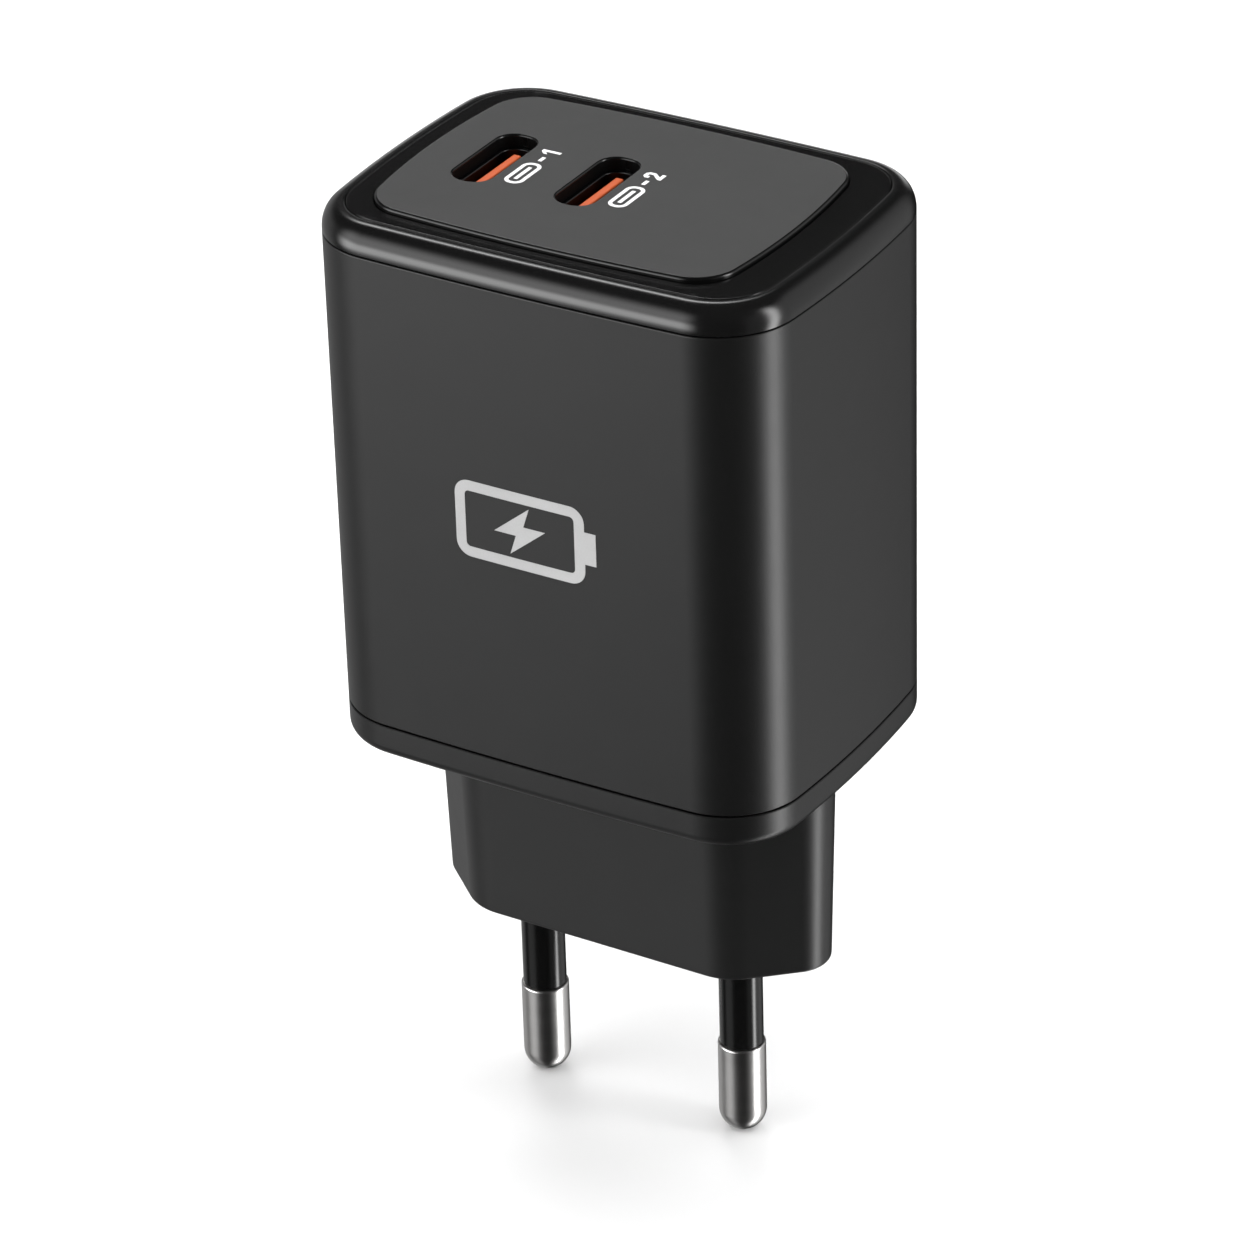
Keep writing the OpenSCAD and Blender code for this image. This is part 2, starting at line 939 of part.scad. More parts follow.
body_sleeve();
top_cap();
bezel_ring();
port_plate();
bottom_cap();
front_mark();
port_1_label();
port_2_label();
plug_base();
line_pin();
neutral_pin();
line_pin_sleeve();
neutral_pin_sleeve();
line_contact();
neutral_contact();
main_board();
port_board();
board_header();
port_1_shell();
port_2_shell();
port_1_tongue();
port_2_tongue();
port_1_contacts();
port_2_contacts();
port_1_insulator();
port_2_insulator();
transformer_core();
transformer_bobbin();
transformer_winding();
bulk_capacitor_1();
bulk_capacitor_2();
output_capacitor_1();
output_capacitor_2();
suppression_capacitor();
safety_capacitor();
choke_core();
choke_winding();
fuse();
bridge_rectifier();
power_switch();
thermal_pad();
heat_spreader();
rectifier_switch();
mains_controller();
isolating_coupler();
port_controller();
output_inductor();
insulation_sheet();
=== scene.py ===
# %% [markdown]
# # A two-port wall charger, piece by piece
# This notebook dresses a finished CAD model of a wall charger. The CAD model is loaded first as a
# fixed frame, and every piece made here is placed from it, so nothing has to be fitted by eye.
# All lengths are in metres, and the z axis runs from the wall socket towards the two ports.

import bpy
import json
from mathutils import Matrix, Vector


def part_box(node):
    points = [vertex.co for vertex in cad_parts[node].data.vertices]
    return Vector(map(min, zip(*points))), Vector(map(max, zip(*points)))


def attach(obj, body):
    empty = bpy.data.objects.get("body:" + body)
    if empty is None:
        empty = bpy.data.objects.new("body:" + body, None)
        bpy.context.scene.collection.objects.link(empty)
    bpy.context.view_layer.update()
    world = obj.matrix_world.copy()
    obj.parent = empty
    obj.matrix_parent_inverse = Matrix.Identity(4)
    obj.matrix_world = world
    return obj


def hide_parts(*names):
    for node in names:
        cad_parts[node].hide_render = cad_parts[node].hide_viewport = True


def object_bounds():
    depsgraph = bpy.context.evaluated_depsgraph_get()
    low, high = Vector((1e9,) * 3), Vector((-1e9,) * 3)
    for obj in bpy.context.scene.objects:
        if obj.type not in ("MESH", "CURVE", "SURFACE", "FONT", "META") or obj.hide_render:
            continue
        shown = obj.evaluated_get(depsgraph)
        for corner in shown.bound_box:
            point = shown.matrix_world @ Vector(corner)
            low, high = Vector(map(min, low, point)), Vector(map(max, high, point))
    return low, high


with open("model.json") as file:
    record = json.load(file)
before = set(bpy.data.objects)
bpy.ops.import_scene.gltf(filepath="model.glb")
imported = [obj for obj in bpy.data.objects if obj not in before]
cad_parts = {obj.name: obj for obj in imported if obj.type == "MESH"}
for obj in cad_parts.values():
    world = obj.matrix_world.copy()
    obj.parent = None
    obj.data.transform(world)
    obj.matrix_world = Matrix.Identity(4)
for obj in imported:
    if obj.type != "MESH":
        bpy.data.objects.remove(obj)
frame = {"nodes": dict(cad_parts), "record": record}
cad_low, cad_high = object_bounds()
print("CAD box in mm:", [round(1000 * (b - a), 2) for a, b in zip(cad_low, cad_high)])

# %% [markdown]
# ## Words used all through the notebook
# Blender works in metres, while a charger is drawn in millimetres, so one name turns one into the
# other. The colour management is set here too, once, for the whole scene: the standard view shows
# a dark grey as the dark grey it is.

# %% Imports and units
import json
from collections import namedtuple
from math import acos, atan2, cos, hypot, pi, radians, sin, sqrt

import bmesh
import bpy
from mathutils import Matrix, Vector

MM = 0.001
scene = bpy.context.scene
scene.view_settings.view_transform = "Standard"
nodes = frame["nodes"]

# %% [markdown]
# ## Measures, read from the CAD model
# A piece should fit even when the design changes. So the housing's length, its seams and the
# heights of the port end are read from the boxes of the CAD nodes. Only what a box can't tell,
# such as a corner's radius, is written down as a number.

# %% Read the main measures
def low(node):
    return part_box(node)[0]


def high(node):
    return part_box(node)[1]


sleeve_z = (low("body_sleeve").z, high("body_sleeve").z)
rim_z = high("top_cap").z
bed_z = low("bezel_ring").z
bezel_z = high("bezel_ring").z
plate_z = high("port_plate").z
shell_z = low("port_1_shell").z
mouth_z = high("port_1_shell").z
base_z = low("bottom_cap").z
port_x = [(low(n).x + high(n).x) / 2 for n in ("port_1_tongue", "port_2_tongue")]
pin_x = [(low(n).x + high(n).x) / 2 for n in ("line_pin", "neutral_pin")]
sleeve_r = (high("line_pin_sleeve").x - low("line_pin_sleeve").x) / 2
print("sleeve between", [round(z / MM, 2) for z in sleeve_z], "mm")
print("ports at", [round(x / MM, 2) for x in port_x], "mm, pins at", [round(x / MM, 2) for x in pin_x], "mm")

# %% [markdown]
# ## The outline that everything follows
# Seen from above, the housing is a rectangle whose four sides bow out a little and whose corners
# are round. A superellipse comes near it, but its corners are never true arcs, and light shows the
# difference. Eight arcs that meet without a kink are what the mould maker cuts, so the outline
# is worked out the same way here: each corner arc touches both of its neighbours from inside.

# %% Eight arcs that meet without a kink
Outline = namedtuple("Outline", "length depth corner short_bow long_bow middle")

housing = Outline(
    length=high("body_sleeve").x - low("body_sleeve").x,
    depth=high("body_sleeve").y - low("body_sleeve").y,
    corner=6.55 * MM,
    short_bow=112 * MM,
    long_bow=425 * MM,
    middle=0,
)
plate = Outline(
    length=high("port_plate").x - low("port_plate").x,
    depth=high("port_plate").y - low("port_plate").y,
    corner=3.7 * MM,
    short_bow=61 * MM,
    long_bow=186 * MM,
    middle=(low("port_plate").x + high("port_plate").x) / 2,
)


def eight_arcs(o):
    """Each arc as (centre x, centre y, radius, start, sweep), anticlockwise from the right side."""
    a = o.long_bow - o.depth / 2
    b = o.short_bow - o.length / 2
    to_long = o.long_bow - o.corner
    to_short = o.short_bow - o.corner
    p = (to_long**2 - to_short**2 - a * a + b * b) / (2 * a) + a
    q = b / a
    root = sqrt(q * q * p * p - (1 + q * q) * (p * p - to_long**2))
    x = (root - q * p) / (1 + q * q)
    y = p + q * x - a
    rise = atan2(y, x + b)
    lean = atan2(x, y + a)
    turn = pi / 2 - rise - lean
    return [
        (-b, 0, o.short_bow, -rise, 2 * rise),
        (x, y, o.corner, rise, turn),
        (0, -a, o.long_bow, pi / 2 - lean, 2 * lean),
        (-x, y, o.corner, pi / 2 + lean, turn),
        (b, 0, o.short_bow, pi - rise, 2 * rise),
        (-x, -y, o.corner, pi + rise, turn),
        (0, a, o.long_bow, 3 * pi / 2 - lean, 2 * lean),
        (x, -y, o.corner, 3 * pi / 2 + lean, turn),
    ]


def bowed(o, inset, z, side_steps=10, corner_steps=20):
    """One closed row of points: the outline moved inwards by inset, at height z."""
    row = []
    for cx, cy, radius, start, sweep in eight_arcs(o):
        steps = corner_steps if radius == o.corner else side_steps
        for i in range(steps):
            angle = start + sweep * i / steps
            reach = radius - inset
            row.append(Vector((o.middle + cx + reach * cos(angle), cy + reach * sin(angle), z)))
    return row


print("points in one row of the housing:", len(bowed(housing, 0, 0)))

# %% [markdown]
# ## Skinning rows of points
# Most moulded parts are one outline carried along a profile. There are three ways to make that in
# Blender: a bevelled curve, a screw modifier, or rows of points joined by quads. Rows are chosen,
# because the profile can roll over an edge, turn inwards and come down again inside, and every
# face stays where it is meant to be. A stack is closed at both ends, and a ring joins its last row
# to its first.

# %% Stacks, rings and turned pieces
SAME_PLACE = 1e-7


def skin(rows, ring=False):
    """A mesh from equal rows of points. It is closed by two caps, or by joining its ends."""
    mesh = bpy.data.meshes.new("skin")
    count = len(rows[0])
    points = [p for row in rows for p in row]
    last = len(rows) if ring else len(rows) - 1
    faces = []
    for r in range(last):
        here = r * count
        there = (r + 1) % len(rows) * count
        for i in range(count):
            j = (i + 1) % count
            faces.append((here + i, here + j, there + j, there + i))
    if not ring:
        faces.append(tuple(range(count)))
        faces.append(tuple(range(len(points) - count, len(points))))
    mesh.from_pydata(points, [], faces)
    tidy = bmesh.new()
    tidy.from_mesh(mesh)
    bmesh.ops.recalc_face_normals(tidy, faces=tidy.faces)
    tidy.to_mesh(mesh)
    tidy.free()
    return mesh


def quarter(radius, steps=6):
    """A rounded edge as (way in, way up) pairs, from the upright side to the flat top."""
    turns = [pi / 2 * i / steps for i in range(steps + 1)]
    return [(radius * (1 - cos(t)), radius * sin(t)) for t in turns]


def turned(profile, x, segments=96):
    """Turns (radius, height) pairs about the upright axis at x. A radius of 0 closes an end."""
    mesh = bpy.data.meshes.new("turned")
    work = bmesh.new()
    spin = [(cos(2 * pi * k / segments), sin(2 * pi * k / segments)) for k in range(segments)]
    rows = []
    for radius, z in profile:
        if radius == 0:
            rows.append([work.verts.new((x, 0, z))])
        else:
            rows.append([work.verts.new((x + radius * c, radius * s, z)) for c, s in spin])
    for a, b in zip(rows, rows[1:]):
        for k in range(segments):
            n = (k + 1) % segments
            corners = [a[k % len(a)], a[n % len(a)], b[n % len(b)], b[k % len(b)]]
            corners = [v for i, v in enumerate(corners) if v not in corners[:i]]
            if len(corners) > 2:
                work.faces.new(corners)
    if profile[0] == profile[-1]:
        bmesh.ops.remove_doubles(work, verts=work.verts, dist=SAME_PLACE)
    bmesh.ops.recalc_face_normals(work, faces=work.faces)
    work.to_mesh(mesh)
    work.free()
    return mesh


# %% [markdown]
# ## Cutting and joining solids
# Slots and bores are cut with a Boolean, the way a drill or a mould core would make them. Cutting
# faces by hand gives neater quads, but a slot with a flared edge in a flat plate needs no quads
# to look right. The result is applied at once, so that no cutter is left in the scene. Two solids
# that are joined have to overlap a little, and one short length does for all of them.

# %% Boolean helper
OVERLAP = 0.1 * MM


def make(name, mesh):
    piece = bpy.data.objects.new(name, mesh)
    mesh.name = name
    scene.collection.objects.link(piece)
    return piece


def combine(piece, tool_mesh, operation="DIFFERENCE"):
    """Cuts tool_mesh out of piece, or joins it on, and keeps the result as the piece's mesh."""
    tool = make("cutter", tool_mesh)
    step = piece.modifiers.new("combine", "BOOLEAN")
    step.operation = operation
    step.solver = "EXACT"
    step.object = tool
    bpy.context.view_layer.update()
    graph = bpy.context.evaluated_depsgraph_get()
    result = bpy.data.meshes.new_from_object(piece.evaluated_get(graph))
    piece.modifiers.clear()
    piece.data = result
    result.name = piece.name
    bpy.data.objects.remove(tool)
    return piece


def box_rows(a, b):
    """A block between two corners as two rows for skin()."""
    square = [(a[0], a[1]), (b[0], a[1]), (b[0], b[1]), (a[0], b[1])]
    return [[Vector((x, y, z)) for x, y in square] for z in (a[2], b[2])]


# %% [markdown]
# ## Handing a piece over to the frame
# Each finished piece does four things: it stands for the CAD node that it replaces, it rides on
# the body, it names its finish, and it gets smooth shading. Flat shading would show every facet,
# and plain smooth shading would smear light over the sharp edges. So edges over a set angle are
# kept sharp, and a weighted normal lets the large flat faces keep their own direction.

# %% Finish a piece
finishes = {}
SHARP = radians(38)


def hand_over(piece, slot, *replaced):
    mesh = piece.data
    mesh.polygons.foreach_set("use_smooth", [True] * len(mesh.polygons))
    mesh.set_sharp_from_angle(angle=SHARP)
    weights = piece.modifiers.new("even_light", "WEIGHTED_NORMAL")
    weights.keep_sharp = True
    if not mesh.materials:
        mesh.materials.append(finishes[slot])
    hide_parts(*replaced)
    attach(piece, "root")
    size = [round((b - a) / MM, 2) for a, b in zip(*extent(piece))]
    print(piece.name, "stands for", ", ".join(replaced), "and measures", size, "mm")
    return piece


def extent(piece):
    """Lowest and highest corner of a piece's mesh."""
    points = [v.co for v in piece.data.vertices]
    return [[pick(p[axis] for p in points) for axis in range(3)] for pick in (min, max)]


# %% [markdown]
# ## Shader groups: surface detail that many finishes share
# A moulded plastic is never one flat colour: the mould's spark-eroded grain scatters light, and
# the colour drifts by a few per cent. A node group holds that once, and each finish sets its own
# values. The group works from object coordinates, so it needs no unwrapping and keeps its scale.
# It gives back a colour, a roughness and a height, and the shader itself stays outside.
#
# The scale of a pattern counts its cells per metre. A noise or a wave moves about one half, so
# that much is taken off wherever it should make a value sometimes larger and sometimes smaller.

# %% Helpers to build node trees
NOISE_MIDDLE = 0.5


def new_group(name, inputs, outputs):
    """An empty node group. inputs maps a name to (socket type, default), outputs to a type."""
    tree = bpy.data.node_groups.new(name, "ShaderNodeTree")
    for label, (kind, default) in inputs.items():
        socket = tree.interface.new_socket(label, in_out="INPUT", socket_type="NodeSocket" + kind)
        if default is not None:
            socket.default_value = default
    for label, kind in outputs.items():
        tree.interface.new_socket(label, in_out="OUTPUT", socket_type="NodeSocket" + kind)
    start = tree.nodes.new("NodeGroupInput")
    end = tree.nodes.new("NodeGroupOutput")
    return tree, start.outputs, end.inputs


def put(tree, kind, values=(), links=(), **settings):
    """Adds one node: settings are its own options, values its sockets, links what feeds them."""
    node = tree.nodes.new("ShaderNode" + kind)
    for name, value in settings.items():
        setattr(node, name, value)
    for socket, value in dict(values).items():
        node.inputs[socket].default_value = value
    for socket, source in dict(links).items():
        tree.links.new(source, node.inputs[socket])
    return node


def noise(tree, vector, scale, detail=3.0, roughness=0.55):
    """A noise texture. scale may be a number or a socket."""
    values = {"Detail": detail, "Roughness": roughness}
    links = {"Vector": vector}
    if isinstance(scale, (int, float)):
        values["Scale"] = scale
    else:
        links["Scale"] = scale
    return put(tree, "TexNoise", values, links).outputs["Fac"]


def arithmetic(tree, operation, a, b=None, c=None, clamp=False):
    """One maths step on sockets or numbers."""
    node = tree.nodes.new("ShaderNodeMath")
    node.operation = operation
    node.use_clamp = clamp
    for i, x in enumerate(x for x in (a, b, c) if x is not None):
        if isinstance(x, (int, float)):
            node.inputs[i].default_value = x
        else:
            tree.links.new(x, node.inputs[i])
    return node.outputs[0]


def swing(tree, value, amount):
    """A noise or wave as a change about 0, times amount."""
    return arithmetic(tree, "MULTIPLY", arithmetic(tree, "SUBTRACT", value, NOISE_MIDDLE), amount)


def layered(tree, main, extra, share, amount):
    """One noise plus a share of another, as a change about 0, times amount."""
    both = arithmetic(tree, "MULTIPLY_ADD", extra, share, main)
    change = arithmetic(tree, "SUBTRACT", both, NOISE_MIDDLE * (1 + share))
    return arithmetic(tree, "MULTIPLY", change, amount)


def shade(tree, colour, amount):
    """colour times (1 + amount), where amount drifts about 0."""
    factor = arithmetic(tree, "ADD", amount, 1.0)
    node = put(tree, "VectorMath", links={0: colour, "Scale": factor}, operation="SCALE")
    return node.outputs["Vector"]


# %% [markdown]
# ### Moulded grain
# Three layers: a fine grain that bends the light and speckles the colour a little, a broad drift
# of the colour, and faint smears left by hands, which show in the roughness.

# %% Group: moulded_grain
PATCH_SCALE = 160.0
SMEAR_SCALE = 420.0


def build_moulded_grain():
    tree, given, result = new_group(
        "moulded_grain",
        {
            "Position": ("Vector", None),
            "Colour": ("Color", (0.1, 0.1, 0.1, 1)),
            "Grain": ("Float", 9000.0),
            "Drift": ("Float", 0.08),
            "Roughness": ("Float", 0.45),
            "Smears": ("Float", 0.06),
        },
        {"Colour": "Color", "Roughness": "Float", "Height": "Float"},
    )
    position = given["Position"]
    grain = noise(tree, position, given["Grain"], detail=2.0, roughness=0.6)
    patches = noise(tree, position, PATCH_SCALE, detail=4.0)
    smears = noise(tree, position, SMEAR_SCALE, detail=5.0, roughness=0.62)
    drift = layered(tree, patches, grain, 0.5, given["Drift"])
    tree.links.new(shade(tree, given["Colour"], drift), result["Colour"])
    smear = swing(tree, smears, given["Smears"])
    rough = arithmetic(tree, "ADD", given["Roughness"], smear, clamp=True)
    tree.links.new(rough, result["Roughness"])
    tree.links.new(grain, result["Height"])
    return tree


moulded_grain = build_moulded_grain()
print("built group", moulded_grain.name)

# %% [markdown]
# ### Tool lines
# Turned, drawn and rolled metal carries fine lines along the way the tool ran. Noise that is
# stretched along one axis looks like that. The Position is scaled before it comes in, so the same
# group serves rings round a pin and lines along a strip.

# %% Group: tool_lines
STAIN_SCALE = 90.0


def build_tool_lines():
    tree, given, result = new_group(
        "tool_lines",
        {
            "Position": ("Vector", None),
            "Colour": ("Color", (0.7, 0.7, 0.7, 1)),
            "Lines": ("Float", 900.0),
            "Contrast": ("Float", 0.08),
            "Roughness": ("Float", 0.2),
            "Spread": ("Float", 0.1),
        },
        {"Colour": "Color", "Roughness": "Float", "Height": "Float"},
    )
    position = given["Position"]
    lines = noise(tree, position, given["Lines"], detail=6.0, roughness=0.7)
    stains = noise(tree, position, STAIN_SCALE)
    drift = layered(tree, lines, stains, 0.6, given["Contrast"])
    tree.links.new(shade(tree, given["Colour"], drift), result["Colour"])
    spread = swing(tree, lines, given["Spread"])
    rough = arithmetic(tree, "ADD", given["Roughness"], spread, clamp=True)
    tree.links.new(rough, result["Roughness"])
    tree.links.new(lines, result["Height"])
    return tree


tool_lines = build_tool_lines()
print("built group", tool_lines.name)

# %% [markdown]
# ### Windings
# A coil is wound from round wire, so its surface is a row of half-round ridges. A wave texture
# along the coil's axis gives their height: the wave's square root is round on top and has narrow
# valleys. The colour is also painted darker in the valleys between the turns: a painted shade.

# %% Group: wound_wire
WIRE_PATCH_SCALE = 300.0
WIRE_ROUGHNESS = 0.25
SQUARE_ROOT = 0.5


def build_wound_wire():
    tree, given, result = new_group(
        "wound_wire",
        {
            "Position": ("Vector", None),
            "Colour": ("Color", (0.6, 0.3, 0.1, 1)),
            "Turns": ("Float", 400.0),
            "Valley": ("Float", 0.5),
        },
        {"Colour": "Color", "Roughness": "Float", "Height": "Float"},
    )
    wave = put(
        tree,
        "TexWave",
        {"Distortion": 0.4, "Detail": 1.0, "Detail Scale": 2.0},
        {"Vector": given["Position"], "Scale": given["Turns"]},
        wave_type="BANDS",
        bands_direction="X",
    ).outputs["Fac"]
    patches = noise(tree, given["Position"], WIRE_PATCH_SCALE)
    ridge = arithmetic(tree, "POWER", wave, SQUARE_ROOT)
    # Painted shade: the colour is darkened in the valleys between the turns.
    painted_valley_shade = arithmetic(tree, "MULTIPLY", arithmetic(tree, "SUBTRACT", ridge, 1.0), given["Valley"])
    drift = arithmetic(tree, "MULTIPLY_ADD", patches, 0.12, painted_valley_shade)
    tree.links.new(shade(tree, given["Colour"], drift), result["Colour"])
    rough = arithmetic(tree, "MULTIPLY_ADD", patches, 0.2, WIRE_ROUGHNESS)
    tree.links.new(rough, result["Roughness"])
    tree.links.new(ridge, result["Height"])
    return tree


wound_wire = build_wound_wire()
print("built group", wound_wire.name)

# %% [markdown]
# ### Circuit board
# Under the green solder mask lie copper tracks: where there is copper, the mask looks lighter. A
# Voronoi texture with square cells gives fields of copper with thin gaps, and a fine weave of
# glass cloth shows through faintly.

# %% Group: masked_copper
FIELD_REACH = 0.42
CLOTH_SCALE = 2600.0
MASK_ROUGHNESS = 0.28


def build_masked_copper():
    tree, given, result = new_group(
        "masked_copper",
        {
            "Position": ("Vector", None),
            "Mask": ("Color", (0.01, 0.12, 0.05, 1)),
            "Copper": ("Color", (0.02, 0.22, 0.09, 1)),
            "Fields": ("Float", 300.0),
        },
        {"Colour": "Color", "Roughness": "Float", "Height": "Float"},
    )
    cells = put(
        tree,
        "TexVoronoi",
        {"Randomness": 0.85},
        {"Vector": given["Position"], "Scale": given["Fields"]},
        distance="CHEBYCHEV",
        feature="F1",
    )
    track = arithmetic(tree, "LESS_THAN", cells.outputs["Distance"], FIELD_REACH)
    cloth = put(
        tree,
        "TexWave",
        {"Scale": CLOTH_SCALE, "Distortion": 0.0},
        {"Vector": given["Position"]},
        bands_direction="DIAGONAL",
    ).outputs["Fac"]
    colour = put(
        tree,
        "Mix",
        links={0: track, 6: given["Mask"], 7: given["Copper"]},
        data_type="RGBA",
    ).outputs[2]
    tree.links.new(shade(tree, colour, swing(tree, cloth, 0.1)), result["Colour"])
    rough = arithmetic(tree, "MULTIPLY_ADD", cloth, 0.08, MASK_ROUGHNESS)
    tree.links.new(rough, result["Roughness"])
    tree.links.new(track, result["Height"])
    return tree


masked_copper = build_masked_copper()
print("built group", masked_copper.name)

# %% [markdown]
# ## One finish at a time
# A finish is a material with one group and one shader. Values that are the same all over, such as
# the coat's roughness or the index of refraction, are set straight on the shader. The bump is
# small: on a part this size, a grain of some hundredths of a millimetre is all there is.

# %% Helper: a finish from a group
def finish(name, group, group_values, bump, relief, stretch=(1, 1, 1), **shader_values):
    """Builds the material of one slot. stretch scales the pattern along each axis."""
    material = bpy.data.materials.new(name)
    material.use_nodes = True
    tree = material.node_tree
    shader = tree.nodes["Principled BSDF"]
    place = put(tree, "TexCoord").outputs["Object"]
    scaled = put(tree, "Mapping", {"Scale": stretch}, {"Vector": place}).outputs["Vector"]
    detail = tree.nodes.new("ShaderNodeGroup")
    detail.node_tree = group
    tree.links.new(scaled, detail.inputs["Position"])
    for socket, value in group_values.items():
        detail.inputs[socket].default_value = value
    tree.links.new(detail.outputs["Colour"], shader.inputs["Base Color"])
    tree.links.new(detail.outputs["Roughness"], shader.inputs["Roughness"])
    bend = put(tree, "Bump", {"Strength": bump, "Distance": relief}, {"Height": detail.outputs["Height"]})
    tree.links.new(bend.outputs["Normal"], shader.inputs["Normal"])
    for socket, value in shader_values.items():
        shader.inputs[socket.replace("_", " ")].default_value = value
    finishes[name] = material


def grey(value, warm=0.0):
    """A near-neutral colour. warm shifts it a little towards red, or towards blue below 0."""
    return (value * (1 + warm), value, value * (1 - warm), 1)


# %% [markdown]
# ### The outside
# The sleeve, the lower cap and the plug body are satin black plastic. The top cap is glossier, and
# the bezel is smooth and black. The port plate's top is matte and lighter. Its smooth edges and the
# walls of its slots are painted near black, a painted shade, and the walls are a dull black that
# hardly answers to light. The plastics differ more in roughness than in colour, and that is what
# tells them apart on the real object.

# %% Outside finishes
finish(
    "housing_satin", moulded_grain,
    {"Colour": grey(0.006), "Grain": 9000.0, "Drift": 0.12, "Roughness": 0.37, "Smears": 0.05},
    bump=0.35, relief=0.012 * MM,
)
finish(
    "cap_satin", moulded_grain,
    {"Colour": grey(0.005), "Grain": 9000.0, "Drift": 0.1, "Roughness": 0.2, "Smears": 0.05},
    bump=0.05, relief=0.01 * MM,
)
finish(
    "plug_satin", moulded_grain,
    {"Colour": grey(0.01), "Grain": 8000.0, "Drift": 0.12, "Roughness": 0.38, "Smears": 0.06},
    bump=0.1, relief=0.012 * MM,
)
finish(
    "bezel_gloss", moulded_grain,
    {"Colour": grey(0.004), "Grain": 4000.0, "Drift": 0.1, "Roughness": 0.16, "Smears": 0.04},
    bump=0.02, relief=0.004 * MM,
)
finish(
    "plate_matte", moulded_grain,
    {"Colour": grey(0.032), "Grain": 11000.0, "Drift": 0.14, "Roughness": 0.55, "Smears": 0.06},
    bump=0.2, relief=0.015 * MM,
)
# slot_gloss paints the plate's rounded edges and the slot flares near black: painted shade.
finish(
    "slot_gloss", moulded_grain,
    {"Colour": grey(0.003), "Grain": 4000.0, "Drift": 0.1, "Roughness": 0.22, "Smears": 0.04},
    bump=0.02, relief=0.004 * MM,
)
# slot_wall paints the slots' upright walls near black with little reflection: painted shade.
finish(
    "slot_wall", moulded_grain,
    {"Colour": grey(0.002), "Grain": 6000.0, "Drift": 0.2, "Roughness": 0.6, "Smears": 0.06},
    bump=0.1, relief=0.01 * MM, Specular_IOR_Level=0.12,
)
finish(
    "print_grey", moulded_grain,
    {"Colour": grey(0.43), "Grain": 7000.0, "Drift": 0.3, "Roughness": 0.5, "Smears": 0.1},
    bump=0.2, relief=0.01 * MM,
)
finish(
    "print_white", moulded_grain,
    {"Colour": grey(0.82), "Grain": 7000.0, "Drift": 0.15, "Roughness": 0.5, "Smears": 0.1},
    bump=0.1, relief=0.01 * MM,
)
finish(
    "pin_nickel", tool_lines,
    {"Colour": grey(0.66, 0.015), "Lines": 1500.0, "Contrast": 0.12, "Roughness": 0.32, "Spread": 0.12},
    stretch=(0.12, 0.12, 1), bump=0.12, relief=0.01 * MM, Metallic=1.0,
)
finish(
    "pin_sleeve", moulded_grain,
    {"Colour": grey(0.004), "Grain": 5000.0, "Drift": 0.1, "Roughness": 0.2, "Smears": 0.06},
    bump=0.03, relief=0.006 * MM,
)
print("outside finishes:", ", ".join(finishes))

# %% [markdown]
# ### The ports
# A receptacle is drawn from steel and blackened, and its tongue is glass-filled plastic in orange,
# the colour that makers use to mark a fast port. Its contacts are plated with gold.

# %% Port finishes
finish(
    "port_steel", tool_lines,
    {"Colour": grey(0.08), "Lines": 1200.0, "Contrast": 0.1, "Roughness": 0.34, "Spread": 0.1},
    stretch=(1, 1, 0.15), bump=0.1, relief=0.01 * MM, Metallic=1.0,
)
finish(
    "tongue_orange", moulded_grain,
    {"Colour": (0.52, 0.1, 0.03, 1), "Grain": 9000.0, "Drift": 0.1, "Roughness": 0.42, "Smears": 0.08},
    bump=0.08, relief=0.01 * MM,
)
finish(
    "contact_gold", tool_lines,
    {"Colour": (0.9, 0.62, 0.22, 1), "Lines": 2500.0, "Contrast": 0.1, "Roughness": 0.22, "Spread": 0.1},
    stretch=(1, 1, 0.2), bump=0.08, relief=0.005 * MM, Metallic=1.0,
)
finish(
    "contact_brass", tool_lines,
    {"Colour": (0.72, 0.48, 0.2, 1), "Lines": 1400.0, "Contrast": 0.16, "Roughness": 0.3, "Spread": 0.16},
    stretch=(1, 0.15, 1), bump=0.12, relief=0.01 * MM, Metallic=1.0,
)
print("port finishes done,", len(finishes), "in all")

# %% [markdown]
# ### The electronics
# These parts are shut inside, and whoever opens the charger sees them: green boards, blue and bare
# capacitor cans, yellow film and tape, ferrite, copper wire and black chip packages.

# %% Inside finishes
finish("board_green", masked_copper, {"Fields": 260.0}, bump=0.25, relief=0.03 * MM, Specular_IOR_Level=0.6)
finish(
    "ferrite", moulded_grain,
    {"Colour": grey(0.03, 0.05), "Grain": 3500.0, "Drift": 0.5, "Roughness": 0.62, "Smears": 0.2},
    bump=0.4, relief=0.04 * MM,
)
finish(
    "winding_tape", wound_wire,
    {"Colour": (0.75, 0.48, 0.05, 1), "Turns": 130.0, "Valley": 0.25},
    stretch=(0, 1, 0), bump=0.2, relief=0.05 * MM,
)
finish(
    "can_sleeve", moulded_grain,
    {"Colour": (0.012, 0.035, 0.12, 1), "Grain": 1500.0, "Drift": 0.2, "Roughness": 0.3, "Smears": 0.14},
    stretch=(1, 1, 0.3), bump=0.1, relief=0.03 * MM, Coat_Weight=0.25,
)
finish(
    "can_bare", tool_lines,
    {"Colour": grey(0.72, -0.01), "Lines": 1200.0, "Contrast": 0.12, "Roughness": 0.28, "Spread": 0.14},
    stretch=(1, 1, 0.1), bump=0.1, relief=0.01 * MM, Metallic=1.0,
)
finish(
    "film_yellow", moulded_grain,
    {"Colour": (0.72, 0.42, 0.02, 1), "Grain": 2500.0, "Drift": 0.2, "Roughness": 0.36, "Smears": 0.12},
    bump=0.1, relief=0.02 * MM,
)
finish(
    "ceramic_blue", moulded_grain,
    {"Colour": (0.02, 0.11, 0.45, 1), "Grain": 1200.0, "Drift": 0.3, "Roughness": 0.34, "Smears": 0.16},
    bump=0.25, relief=0.06 * MM,
)
